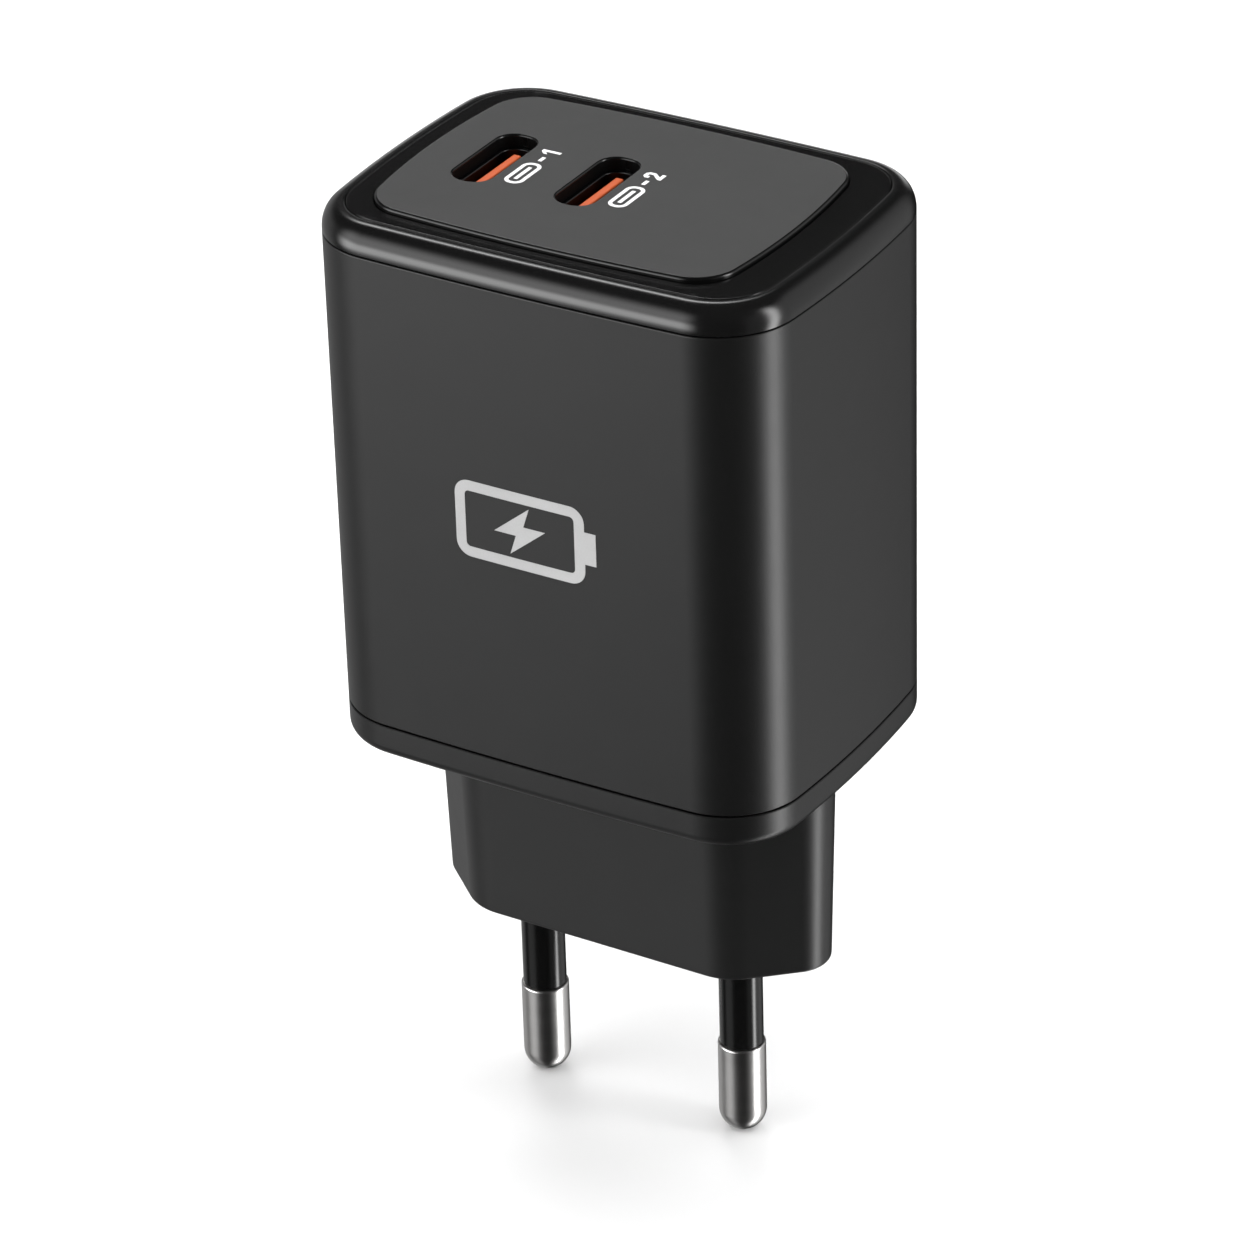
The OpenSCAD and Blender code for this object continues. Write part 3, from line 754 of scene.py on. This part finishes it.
finish(
    "choke_green", moulded_grain,
    {"Colour": (0.03, 0.11, 0.05, 1), "Grain": 2500.0, "Drift": 0.35, "Roughness": 0.5, "Smears": 0.15},
    bump=0.3, relief=0.03 * MM,
)
finish(
    "copper_wire", wound_wire,
    {"Colour": (0.62, 0.2, 0.06, 1), "Turns": 230.0, "Valley": 0.7},
    stretch=(1, 0, 0), bump=0.4, relief=0.1 * MM, Metallic=0.7, Coat_Weight=0.4,
)
finish(
    "fuse_glass", moulded_grain,
    {"Colour": grey(0.6), "Grain": 2500.0, "Drift": 0.2, "Roughness": 0.12, "Smears": 0.08},
    bump=0.05, relief=0.01 * MM, Coat_Weight=0.6,
)
finish(
    "chip_black", moulded_grain,
    {"Colour": grey(0.018), "Grain": 5000.0, "Drift": 0.3, "Roughness": 0.55, "Smears": 0.1},
    bump=0.3, relief=0.02 * MM,
)
finish(
    "pad_grey", moulded_grain,
    {"Colour": (0.2, 0.26, 0.36, 1), "Grain": 3000.0, "Drift": 0.2, "Roughness": 0.75, "Smears": 0.1},
    bump=0.3, relief=0.04 * MM,
)
finish(
    "spreader_metal", tool_lines,
    {"Colour": grey(0.68), "Lines": 900.0, "Contrast": 0.2, "Roughness": 0.3, "Spread": 0.18},
    stretch=(0.08, 1, 1), bump=0.12, relief=0.01 * MM, Metallic=1.0,
)
finish(
    "coupler_white", moulded_grain,
    {"Colour": grey(0.75, 0.03), "Grain": 5000.0, "Drift": 0.15, "Roughness": 0.5, "Smears": 0.1},
    bump=0.2, relief=0.02 * MM,
)
finish(
    "sheet_amber", moulded_grain,
    {"Colour": (0.8, 0.62, 0.28, 1), "Grain": 1800.0, "Drift": 0.2, "Roughness": 0.3, "Smears": 0.14},
    bump=0.15, relief=0.03 * MM,
)
print(len(finishes), "finishes in all")

# %% [markdown]
# ## Dress the CAD nodes that stay
# A node whose shape is right keeps it and only gets a better material. The record says which slot
# each node is painted from, so the new finish is found by that name.

# %% Give every CAD node its finish
slot_of = {part["node"]: part["material_slot"] for part in frame["record"]["subparts"]}

for node, obj in sorted(nodes.items()):
    obj.data.materials.clear()
    obj.data.materials.append(finishes[slot_of[node]])
print("dressed", len(nodes), "CAD nodes")

# %% [markdown]
# ## The sleeve
# The charger's body is an open tube with a wall of 1.6 mm, moulded in one piece. Its end edges are
# eased in two short steps, a steep one and a flatter one. They catch a fine line of light beside
# each seam.

# %% Body sleeve
WALL = 1.6 * MM
SLEEVE_EDGE = 0.12 * MM
KNEE_IN = 0.03 * MM
KNEE_UP = 0.06 * MM


def body_sleeve():
    z0, z1 = sleeve_z
    profile = [(WALL, z0), (SLEEVE_EDGE, z0), (KNEE_IN, z0 + KNEE_UP), (0, z0 + SLEEVE_EDGE)]
    profile += [(0, z1 - SLEEVE_EDGE), (KNEE_IN, z1 - KNEE_UP), (SLEEVE_EDGE, z1), (WALL, z1)]
    rows = [bowed(housing, inset, z) for inset, z in profile]
    return make("sleeve_shell", skin(rows, ring=True))


hand_over(body_sleeve(), "housing_satin", "body_sleeve")

# %% [markdown]
# ## The top cap
# The cap is the frame of the port end: a rim that rolls over the outer edge, a step down inside
# it, a floor that carries the port plate, and a lip that plugs into the sleeve. All of it is one
# profile carried round one outline, so it is one stack of rows: down inside the lip, up outside
# it, out along the seam, over the rim and down again. The roll is a quarter of an ellipse, a
# little taller than wide, so that it starts right above the seam. Then the openings for the
# receptacles are cut, and four posts are joined on, which hold the board that carries the ports.

# %% Top cap
RIM_W = 1.9 * MM
RIM_ROUND = 1.6 * MM
RIM_TALL = 2.05 * MM
RIM_INNER = 0.2 * MM
DECK = 1.8 * MM
LIP_IN = 1.65 * MM
LIP_WALL = 1.1 * MM
LIP_DROP = 1.4 * MM
SEAM_GAP = 0.15 * MM
SEAM_EDGE = 0.06 * MM
MOUTH_L = 8.34 * MM
MOUTH_W = 2.56 * MM
SLOT_ROOM = 1.2 * MM
SLOT_ROOM_ROUND = 1.7 * MM
POST_AT = (15 * MM, 6.5 * MM)
POST_HALF = 1 * MM


def slot_row(x, width, length, radius, z, steps=10):
    """A row round an upright slot: a rectangle along Y with round corners."""
    row = []
    for k, (sx, sy) in enumerate([(1, 1), (-1, 1), (-1, -1), (1, -1)]):
        cx = x + sx * (width / 2 - radius)
        cy = sy * (length / 2 - radius)
        for i in range(steps + 1):
            angle = pi / 2 * (k + i / steps)
            row.append(Vector((cx + radius * cos(angle), cy + radius * sin(angle), z)))
    return row


def top_cap():
    deck_z = bed_z - DECK
    seam_z = sleeve_z[1] + SEAM_GAP / 2
    profile = [(LIP_IN + LIP_WALL, deck_z), (LIP_IN + LIP_WALL, deck_z - LIP_DROP)]
    profile += [(LIP_IN, deck_z - LIP_DROP), (LIP_IN, seam_z)]
    profile += [(SEAM_EDGE, seam_z), (0, seam_z + SEAM_EDGE)]
    profile += [(RIM_ROUND * i, rim_z - RIM_TALL * (1 - up)) for i, up in quarter(1, steps=14)]
    profile += [(RIM_W - i, rim_z - RIM_INNER + up) for i, up in reversed(quarter(RIM_INNER, steps=5))]
    profile += [(RIM_W, bed_z)]
    cap = make("port_end_cap", skin([bowed(housing, inset, z) for inset, z in profile]))
    for x in port_x:
        size = (MOUTH_W + SLOT_ROOM, MOUTH_L + SLOT_ROOM, SLOT_ROOM_ROUND)
        combine(cap, skin([slot_row(x, *size, z) for z in (deck_z - MM, bed_z + MM)]))
    for x in (-POST_AT[0], POST_AT[0]):
        for y in (-POST_AT[1], POST_AT[1]):
            foot = (x - POST_HALF, y - POST_HALF, shell_z)
            head = (x + POST_HALF, y + POST_HALF, deck_z + OVERLAP)
            combine(cap, skin(box_rows(foot, head)), "UNION")
    return cap


hand_over(top_cap(), "cap_satin", "top_cap")

# %% [markdown]
# ## The gloss bezel
# A smooth black ring lies between the rim and the port plate. Its outer side follows the
# housing's outline and its inner side the plate's. The plate sits off centre, so the ring is wider
# on one side. Both outlines have the same eight arcs, so their rows match point for point.

# %% Bezel ring
BEZEL_FIT = 0.05 * MM
BEZEL_EDGE = 0.12 * MM


def bezel_ring():
    outer = RIM_W + BEZEL_FIT
    inner = -BEZEL_FIT
    rounding = quarter(BEZEL_EDGE, steps=4)
    rows = [bowed(housing, outer, bed_z)]
    rows += [bowed(housing, outer + i, bezel_z - BEZEL_EDGE + up) for i, up in rounding]
    rows += [bowed(plate, inner - i, bezel_z - BEZEL_EDGE + up) for i, up in reversed(rounding)]
    rows += [bowed(plate, inner, bed_z)]
    return make("gloss_bezel", skin(rows, ring=True))


hand_over(bezel_ring(), "bezel_gloss", "bezel_ring")

# %% [markdown]
# ## The port plate
# The plate stands a little above the bezel, and its edge is rounded, so it shows as a fine bright
# line between two dark ones. Each port's slot is flared at the top to guide a plug in. Only the
# flat face is etched matte, in a lighter grey. The plate's edges and the flares stay as smooth as
# the mould, and they and the slots' upright walls are painted near black, a painted shade. The
# walls take a dull black, so that no gleam shows down there. Which face is which is told by how
# far up it looks.

# %% Port plate
PLATE_EDGE = 0.25 * MM
SLOT_W = 3.4 * MM
SLOT_L = 9.1 * MM
SLOT_ROUND = 1.5 * MM
FLARE = 0.2 * MM
LOOKS_UP = 0.98
LOOKS_ASIDE = 0.1


def port_plate():
    profile = [(0, bed_z)]
    profile += [(i, plate_z - PLATE_EDGE + up) for i, up in quarter(PLATE_EDGE, steps=8)]
    part = make("port_face", skin([bowed(plate, inset, z) for inset, z in profile]))
    flare = [(i, plate_z - FLARE + up) for i, up in quarter(FLARE, steps=6)]
    for x in port_x:
        rows = []
        for out, z in [(0, bed_z - MM), *flare, (FLARE, plate_z + MM)]:
            rows.append(slot_row(x, SLOT_W + 2 * out, SLOT_L + 2 * out, SLOT_ROUND + out, z))
        combine(part, skin(rows))
    part.data.materials.clear()
    for slot in ("plate_matte", "slot_gloss", "slot_wall"):
        part.data.materials.append(finishes[slot])
    # Faces that look up keep the lighter matte grey. All others get near-black finishes, a painted shade.
    flat, smooth, dull_painted_shade = range(3)
    for face in part.data.polygons:
        in_slot = any(abs(face.center.x - x) < SLOT_W and abs(face.center.y) < SLOT_L / 2 for x in port_x)
        if face.normal.z > LOOKS_UP:
            face.material_index = flat
        elif in_slot and abs(face.normal.z) < LOOKS_ASIDE:
            face.material_index = dull_painted_shade
        else:
            face.material_index = smooth
    return part


hand_over(port_plate(), "plate_matte", "port_plate")

# %% [markdown]
# ## The lower cap
# The lower cap closes the sleeve and takes the plug body's neck. It is a stack like the top cap,
# upside down: up inside the lip, down outside it, out along the seam and round the bottom edge.
# Two short rails on each side stand on its floor and hold the foot of the main board between them.

# %% Lower cap
CAP_ROUND = 1.0 * MM
CAP_FLOOR = 1.8 * MM
LIP_H = 2.5 * MM
NECK_L = 27.7 * MM
NECK_D = 10.2 * MM
NECK_GAP = 0.2 * MM
NECK_HOLE_ROUND = 1.7 * MM
RAIL_X = (13 * MM, 16 * MM)
RAIL_T = 0.7 * MM
RAIL_H = 2.6 * MM
RAIL_EASE = 0.1 * MM


def lying_row(length, depth, radius, z, steps=8):
    """A row round a rectangle along X with round corners."""
    return [Vector((p.y, -p.x, z)) for p in slot_row(0, depth, length, radius, z, steps)]


def lower_cap():
    seam_z = sleeve_z[0] - SEAM_GAP
    lip_z = seam_z + SEAM_GAP / 2 + LIP_H
    floor_z = base_z + CAP_FLOOR
    profile = [(LIP_IN + LIP_WALL, floor_z), (LIP_IN + LIP_WALL, lip_z), (LIP_IN, lip_z)]
    profile += [(LIP_IN, seam_z), (SEAM_EDGE, seam_z), (0, seam_z - SEAM_EDGE)]
    profile += [(i, base_z + CAP_ROUND - up) for i, up in quarter(CAP_ROUND, steps=10)]
    cap = make("plug_end_cap", skin([bowed(housing, inset, z) for inset, z in profile]))
    hole = (NECK_L + 2 * NECK_GAP, NECK_D + 2 * NECK_GAP, NECK_HOLE_ROUND)
    combine(cap, skin([lying_row(*hole, z) for z in (base_z - MM, lip_z)]))
    before_board = low("main_board").y - RAIL_EASE - RAIL_T
    behind_board = high("main_board").y + RAIL_EASE
    for side in (-1, 1):
        x0, x1 = sorted(side * x for x in RAIL_X)
        for y in (before_board, behind_board):
            rows = box_rows((x0, y, floor_z - OVERLAP), (x1, y + RAIL_T, floor_z + RAIL_H))
            combine(cap, skin(rows), "UNION")
    return cap


hand_over(lower_cap(), "housing_satin", "bottom_cap")

# %% [markdown]
# ## The plug body
# The flat plug for two round pins has six sides: two long flats and a pair of slanted ones at each
# end, so that it goes into recessed sockets either way up. Each of its six upright edges is an arc
# between two flats. The four beside the long flats are rounder than the two at the ends, so the
# slanted sides are the lines that touch a large circle and a small one. The body widens a little
# towards the housing, as a moulding must to leave its tool. A hull of six cylinders would do, but
# rows of arcs give smooth edges at any size. On top is a neck with two hooks that snap into the
# lower cap, and inside is a hollow with a boss round each pin.

# %% Plug body
BASE_ROUND = 5.0 * MM
BASE_END = 3.0 * MM
BASE_DRAFT = 0.5 * MM
BASE_EDGE = 0.35 * MM
BASE_FLAT = 19.9 * MM
BASE_L = 2 * (high("plug_base").x - BASE_DRAFT)
BASE_W = 2 * (high("plug_base").y - BASE_DRAFT)
BASE_LIFTS = 6
NECK_H = 3.3 * MM
NECK_ROUND = 1.5 * MM
HOOK_REACH = 0.95 * MM
HOOK_TIP = 0.5 * MM
HOOK_HALF = 2.5 * MM
CAVITY = (25.5 * MM, 8 * MM, 1.2 * MM)
PLUG_FLOOR = 2.8 * MM
BOSS_R = 3.4 * MM
BOSS_Z = 12 * MM
SLEEVE_FIT = 0.06 * MM
SHANK_R = 1.8 * MM
BORE_EASE = 0.25 * MM


def six_sided(grow, z, steps=14):
    """A row round the plug body: six corner arcs, each turning from one flat to the next."""
    end_x = BASE_L / 2 - BASE_END
    side_y = BASE_W / 2 - BASE_ROUND
    half = BASE_FLAT / 2
    centres = [(end_x, 0), (half, side_y), (-half, side_y), (-end_x, 0), (-half, -side_y), (half, -side_y)]
    radii = [BASE_END, BASE_ROUND, BASE_ROUND, BASE_END, BASE_ROUND, BASE_ROUND]
    between = hypot(end_x - half, side_y)
    slant = atan2(side_y, half - end_x) - acos((BASE_END - BASE_ROUND) / between)
    starts = [-slant, slant, pi / 2, pi - slant, pi + slant, 3 * pi / 2]
    ends = [slant, pi / 2, pi - slant, pi + slant, 3 * pi / 2, 2 * pi - slant]
    row = []
    for (cx, cy), radius, start, end in zip(centres, radii, starts, ends):
        for i in range(steps + 1):
            angle = start + (end - start) * i / steps
            reach = radius + grow
            row.append(Vector((cx + reach * cos(angle), cy + reach * sin(angle), z)))
    return row


def outer_plug(neck_z):
    """The six-sided block, its neck and the two hooks, still solid."""
    rows = [six_sided(-i, BASE_EDGE - up) for i, up in reversed(quarter(BASE_EDGE, steps=6))]
    for lift in range(1, BASE_LIFTS + 1):
        part = lift / BASE_LIFTS
        rows.append(six_sided(BASE_DRAFT * part, BASE_EDGE + (base_z - BASE_EDGE) * part))
    body = make("plug_body", skin(rows))
    combine(body, skin([lying_row(NECK_L, NECK_D, NECK_ROUND, z) for z in (base_z - MM, neck_z)]), "UNION")
    hook_z = base_z + CAP_FLOOR
    for side in (-1, 1):
        root = side * (NECK_L / 2 - OVERLAP)
        tip = side * (NECK_L / 2 + HOOK_REACH)
        shape = [(root, hook_z), (tip, hook_z), (tip, hook_z + HOOK_TIP), (root, neck_z - OVERLAP)]
        rows = [[Vector((x, y, z)) for x, z in shape] for y in (-HOOK_HALF, HOOK_HALF)]
        combine(body, skin(rows), "UNION")
    return body


def plug_body():
    neck_z = base_z + NECK_H
    body = outer_plug(neck_z)
    hollow = make("hollow", skin([lying_row(*CAVITY, z) for z in (PLUG_FLOOR, neck_z + MM)]))
    for x in pin_x:
        combine(hollow, turned([(0, 0), (BOSS_R, 0), (BOSS_R, BOSS_Z), (0, BOSS_Z)], x))
    combine(body, hollow.data)
    bpy.data.objects.remove(hollow)
    bore_r = sleeve_r + SLEEVE_FIT
    bore = [(0, -MM), (bore_r + BORE_EASE, -MM), (bore_r + BORE_EASE, 0), (bore_r, BORE_EASE)]
    bore += [(bore_r, PLUG_FLOOR), (SHANK_R, PLUG_FLOOR), (SHANK_R, BOSS_Z + MM), (0, BOSS_Z + MM)]
    for x in pin_x:
        combine(body, turned(bore, x))
    return body


hand_over(plug_body(), "plug_satin", "plug_base")

# %% [markdown]
# ## Pins and their sleeves
# A pin is turned from brass rod and plated with nickel. Its free end is a half ball. Below the
# housing it wears a black sleeve, so that no bare metal shows while the plug is half out. A collar
# inside the plug body keeps it from pulling out, and a thin tail reaches up to its strap. Turning
# a profile about an axis is the natural way to make both pin and sleeve.

# %% Pins
pin_low = low("line_pin").z
pin_top = high("line_pin").z
sleeve_low = low("line_pin_sleeve").z
sleeve_top = high("line_pin_sleeve").z
PIN_R = 2.0 * MM
CORE_R = 1.5 * MM
SHOULDER = 0.2 * MM
COLLAR_R = 2.5 * MM
COLLAR_H = 1.2 * MM
TAIL_R = 1.0 * MM
TAIL_EASE = 0.2 * MM
COVER_EASE = 0.12 * MM


def pin_profile():
    tip = [(PIN_R - i, pin_low + PIN_R - up) for i, up in reversed(quarter(PIN_R, steps=16))]
    tip[0] = (0, pin_low)
    shoulder = [(PIN_R - i, sleeve_low - SHOULDER + up) for i, up in quarter(SHOULDER, steps=5)]
    collar_z = PLUG_FLOOR + COLLAR_H
    rest = [(CORE_R, sleeve_low), (CORE_R, PLUG_FLOOR), (COLLAR_R, PLUG_FLOOR), (COLLAR_R, collar_z)]
    rest += [(SHANK_R, collar_z), (SHANK_R, BOSS_Z), (TAIL_R, BOSS_Z + MM)]
    rest += [(TAIL_R, pin_top - TAIL_EASE), (TAIL_R - TAIL_EASE, pin_top), (0, pin_top)]
    return tip + shoulder + rest


def pin_cover():
    cover = [(CORE_R, sleeve_low), (sleeve_r - COVER_EASE, sleeve_low)]
    cover += [(sleeve_r, sleeve_low + COVER_EASE), (sleeve_r, sleeve_top)]
    return cover + [(CORE_R, sleeve_top), (CORE_R, sleeve_low)]


for name, x in zip(("line_pin", "neutral_pin"), pin_x):
    hand_over(make(name + "_turned", turned(pin_profile(), x)), "pin_nickel", name)
    hand_over(make(name + "_cover", turned(pin_cover(), x)), "pin_sleeve", name + "_sleeve")

# %% [markdown]
# ## Receptacles
# Looking into a port shows a metal shell with a rolled mouth, and a thin tongue standing in it
# that carries the contacts. The mouth's edge is rounded both ways and the tongue's tip is eased,
# so a plug slides on.

# %% Shells and tongues
SHELL_T = 0.3 * MM
MOUTH_ROUND = 1.2 * MM
ROLL_OUT = 0.1 * MM
ROLL_IN = 0.14 * MM
TONGUE_EDGE = 0.12 * MM
TONGUE_CORNER = 0.01 * MM


def port_shell(name, x):
    profile = [(0, shell_z), (SHELL_T, shell_z)]
    profile += [(SHELL_T - i, mouth_z - ROLL_OUT + up) for i, up in quarter(ROLL_OUT, steps=4)]
    profile += [(i, mouth_z - ROLL_IN + up) for i, up in reversed(quarter(ROLL_IN, steps=4))]
    rows = []
    for out, z in profile:
        rows.append(slot_row(x, MOUTH_W + 2 * out, MOUTH_L + 2 * out, MOUTH_ROUND + out, z))
    return make(name + "_rolled", skin(rows, ring=True))


def port_tongue(name, x):
    a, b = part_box(name)
    width = b.x - a.x
    length = b.y - a.y
    rows = [slot_row(x, width, length, TONGUE_EDGE, a.z, steps=4)]
    for i, up in quarter(TONGUE_EDGE, steps=4):
        corner = max(TONGUE_EDGE - i, TONGUE_CORNER)
        rows.append(slot_row(x, width - 2 * i, length - 2 * i, corner, b.z - TONGUE_EDGE + up, steps=4))
    return make(name + "_moulded", skin(rows))


for number, x in zip((1, 2), port_x):
    shell = f"port_{number}_shell"
    tongue = f"port_{number}_tongue"
    hand_over(port_shell(shell, x), "port_steel", shell)
    hand_over(port_tongue(tongue, x), "tongue_orange", tongue)

# %% [markdown]
# ## The charging mark
# The mark on the front is printed: a battery with a bolt in it. Print has no thickness to speak
# of, but a flat sheet would sink into the bowed front. So the flat sign is pushed back through a
# thin skin that follows the bow, and only what both share is kept.

# %% Printed mark
INK = 0.02 * MM
FRONT_ARC = 6
SIGN_Y = (-20 * MM, -10 * MM)
FRAME_LINE = 0.9 * MM
FRAME_ROUND = 1.3 * MM
FRAME_ROUND_INSIDE = 0.4 * MM
NUB_OUT = 1.0 * MM
NUB_HALF = 1.4 * MM
BOLT = [(0.9, 2.15), (-2.3, -0.45), (-0.35, -0.45), (-0.9, -2.15), (2.3, 0.45), (0.35, 0.45)]


def front_skin(lower, upper, steps=60):
    """A thin skin over the bowed front between two heights."""
    cx, cy, radius, start, sweep = eight_arcs(housing)[FRONT_ARC]
    line = []
    for reach, turns in ((radius, range(steps + 1)), (radius + INK, reversed(range(steps + 1)))):
        for i in turns:
            angle = start + sweep * i / steps
            line.append((cx + reach * cos(angle), cy + reach * sin(angle)))
    return skin([[Vector((x, y, z)) for x, y in line] for z in (lower, upper)])


def upright_row(length, height, radius, x, z, y):
    """A row round an upright rectangle that faces the front."""
    return [Vector((x + p.y, y, z + p.x)) for p in slot_row(0, height, length, radius, 0, steps=8)]


def printed_mark():
    a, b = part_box("front_mark")
    length = b.x - a.x - NUB_OUT
    height = b.z - a.z
    x = a.x + length / 2
    z = (a.z + b.z) / 2
    front, back = SIGN_Y
    sign = make("mark", skin([upright_row(length, height, FRAME_ROUND, x, z, y) for y in SIGN_Y]))
    inside = (length - 2 * FRAME_LINE, height - 2 * FRAME_LINE, FRAME_ROUND_INSIDE)
    combine(sign, skin([upright_row(*inside, x, z, y) for y in (front - MM, back + MM)]))
    nub = box_rows((x + length / 2 - OVERLAP, front, z - NUB_HALF), (b.x, back, z + NUB_HALF))
    combine(sign, skin(nub), "UNION")
    rows = [[Vector((x + u * MM, y, z + v * MM)) for u, v in BOLT] for y in SIGN_Y]
    combine(sign, skin(rows), "UNION")
    ink = make("front_print", front_skin(a.z - MM, b.z + MM))
    combine(ink, sign.data, "INTERSECT")
    bpy.data.objects.remove(sign)
    return ink


hand_over(printed_mark(), "print_grey", "front_mark")

# %% [markdown]
# ## Floor, camera and light
# The charger stands on its pins on a seamless white sheet. The camera looks down at a corner
# through a long lens from half a metre off, which keeps the uprights nearly parallel. It is placed
# by its point and its three angles, so a reader can see what each does.

# %% Camera
FOCAL = 162.5
CAMERA_AT = Vector((204.92, -336.91, 251.10)) * MM
YAW, PITCH, ROLL = radians(31.36), radians(29.64), radians(-1.713)


def aim(yaw, pitch, roll):
    """The camera's turn: yaw to the left, pitch down, then roll about its own line of sight."""
    right = Vector((cos(yaw), sin(yaw), 0))
    ahead = Vector((-sin(yaw) * cos(pitch), cos(yaw) * cos(pitch), -sin(pitch)))
    up = right.cross(ahead)
    tilted_right = right * cos(roll) + up * sin(roll)
    tilted_up = up * cos(roll) - right * sin(roll)
    return Matrix((tilted_right, tilted_up, -ahead)).transposed().to_4x4()


lens = bpy.data.cameras.new("camera")
lens.lens = FOCAL
lens.sensor_width = 36
lens.clip_start = 0.01
lens.clip_end = 20
camera = bpy.data.objects.new("camera", lens)
camera.matrix_world = Matrix.Translation(CAMERA_AT) @ aim(YAW, PITCH, ROLL)
scene.collection.objects.link(camera)
scene.camera = camera
print("camera is", round(CAMERA_AT.length, 3), "m from the plug's face")

# %% [markdown]
# ### The floor
# A studio sweep is paper: matte, nearly white, with a very faint tooth. It lies a hair below the
# pins' tips, so that the two never share a plane.

# %% Floor
FLOOR_HALF = 3.0
FLOOR_GAP = 0.02 * MM


def studio_floor():
    z = cad_low.z - FLOOR_GAP
    corners = [(FLOOR_HALF * x, FLOOR_HALF * y) for x, y in ((-1, -1), (1, -1), (1, 1), (-1, 1))]
    mesh = bpy.data.meshes.new("floor")
    mesh.from_pydata([Vector((x, y, z)) for x, y in corners], [], [(0, 1, 2, 3)])
    floor = make("floor", mesh)
    finish(
        "paper_white", moulded_grain,
        {"Colour": grey(0.93), "Grain": 600.0, "Drift": 0.005, "Roughness": 0.95, "Smears": 0.0},
        bump=0.02, relief=0.05 * MM,
    )
    mesh.materials.append(finishes["paper_white"])


studio_floor()

# %% [markdown]
# ### Light for the paper
# The paper has to be white, so one big box hangs right above. It would also put a hot spot on
# every glossy top face. A studio hangs a black card to stop that, and here the box is simply
# hidden from glossy rays. So is the floor.

# %% Overhead box
BOX_HEIGHT = 1.2
BOX_SIDE = 2.6
BOX_WATTS = 42.5

box_light = bpy.data.lights.new("overhead_box", "AREA")
box_light.shape = "SQUARE"
box_light.size = BOX_SIDE
box_light.energy = BOX_WATTS
overhead = bpy.data.objects.new("overhead_box", box_light)
overhead.location = (0, 0, BOX_HEIGHT)
scene.collection.objects.link(overhead)
overhead.visible_glossy = False
bpy.data.objects["floor"].visible_glossy = False
print("overhead box of", BOX_SIDE, "m hangs", BOX_HEIGHT, "m above the plug's face")

# %% [markdown]
# ### Panels for the plastic
# Black plastic shows its light, not its colour. What it needs is a room with one panel for each
# face that should show: a wide pale one for the front and one for the left side, two bright ones
# for the rim's roll, a small high one for the thin line along the rim's top, and a low one behind
# for the rim's inner edge. A faint one shows the plug's slanted side, a narrow strip the upright
# corner, and a broad one the right side. Between them it stays dark. Area lights can do this, but
# panels painted on the sky give the same look with less noise.
#
# Each panel is a soft patch at a bearing, measured from the front towards the right, and between
# two heights above the horizon. All of that is in degrees, and the strength comes last.

# %% The direction of a ray
world = bpy.data.worlds.new("studio")
world.use_nodes = True
scene.world = world
sky = world.node_tree
ray = put(sky, "TexCoord").outputs["Generated"]
parts = put(sky, "SeparateXYZ", links={0: ray}).outputs
rise = arithmetic(sky, "ARCSINE", parts["Z"])
level = put(sky, "CombineXYZ", links={"X": parts["X"], "Y": parts["Y"]}).outputs[0]
flat_ray = put(sky, "VectorMath", links={0: level}, operation="NORMALIZE").outputs["Vector"]


def softly(value, start, end):
    """0 at start, 1 at end and past it, with an eased change between them."""
    sockets = {"From Min": start, "From Max": end}
    node = put(sky, "MapRange", sockets, {"Value": value}, interpolation_type="SMOOTHSTEP")
    return node.outputs["Result"]


def panel(bearing, half_width, side_soft, bottom, top, height_soft, strength):
    """The light of one panel as a socket."""
    turn = radians(bearing)
    node = put(sky, "VectorMath", {1: (sin(turn), -cos(turn), 0)}, {0: flat_ray}, operation="DOT_PRODUCT")
    away = arithmetic(sky, "ARCCOSINE", node.outputs["Value"])
    across = softly(away, radians(half_width + side_soft), radians(half_width - side_soft))
    above = softly(rise, radians(bottom - height_soft), radians(bottom + height_soft))
    below = softly(rise, radians(top + height_soft), radians(top - height_soft))
    shape = arithmetic(sky, "MULTIPLY", across, arithmetic(sky, "MULTIPLY", above, below))
    return arithmetic(sky, "MULTIPLY", shape, strength)


# %% Nine panels in a dim room
ROOM_GLOW = 0.012
panels = {
    "front": panel(-36, 20, 10, -75, -10, 12, 0.39),
    "left side": panel(-112, 32, 12, -75, 15, 12, 0.4),
    "lower part of the rim's roll": panel(-36, 26, 12, -17, 4, 6, 6.4),
    "upper part of the rim's roll": panel(-38, 26, 12, 2, 34, 16, 2.8),
    "line along the rim's top": panel(-140, 14, 8, 41, 49, 5, 10.0),
    "rim's inner edge": panel(-156, 16, 8, -8, 8, 6, 1.5),
    "slanted side of the plug": panel(72, 10, 8, -75, 30, 12, 0.2),
    "upright corner": panel(102, 7, 5, -70, 35, 15, 8.6),
    "right side": panel(127, 34, 18, -75, 36, 10, 0.58),
}
room = ROOM_GLOW
for light in panels.values():
    room = arithmetic(sky, "ADD", light, room)
print("the sky lights the", ", ".join(panels))

# %% [markdown]
# ### The backdrop
# Past the floor's edge the camera would see the dim room. So camera rays get an even pale sky
# instead, and only the rays that light or mirror something see the panels.

# %% Pale backdrop for the camera
BACKDROP = 0.93
seen = put(sky, "LightPath").outputs["Is Camera Ray"]
strength = put(sky, "Mix", {3: BACKDROP}, {0: seen, 2: room}, data_type="FLOAT").outputs[0]
sky.nodes["Background"].inputs["Color"].default_value = (1, 1, 1, 1)
sky.links.new(strength, sky.nodes["Background"].inputs["Strength"])
print("camera rays see a sky of", BACKDROP)
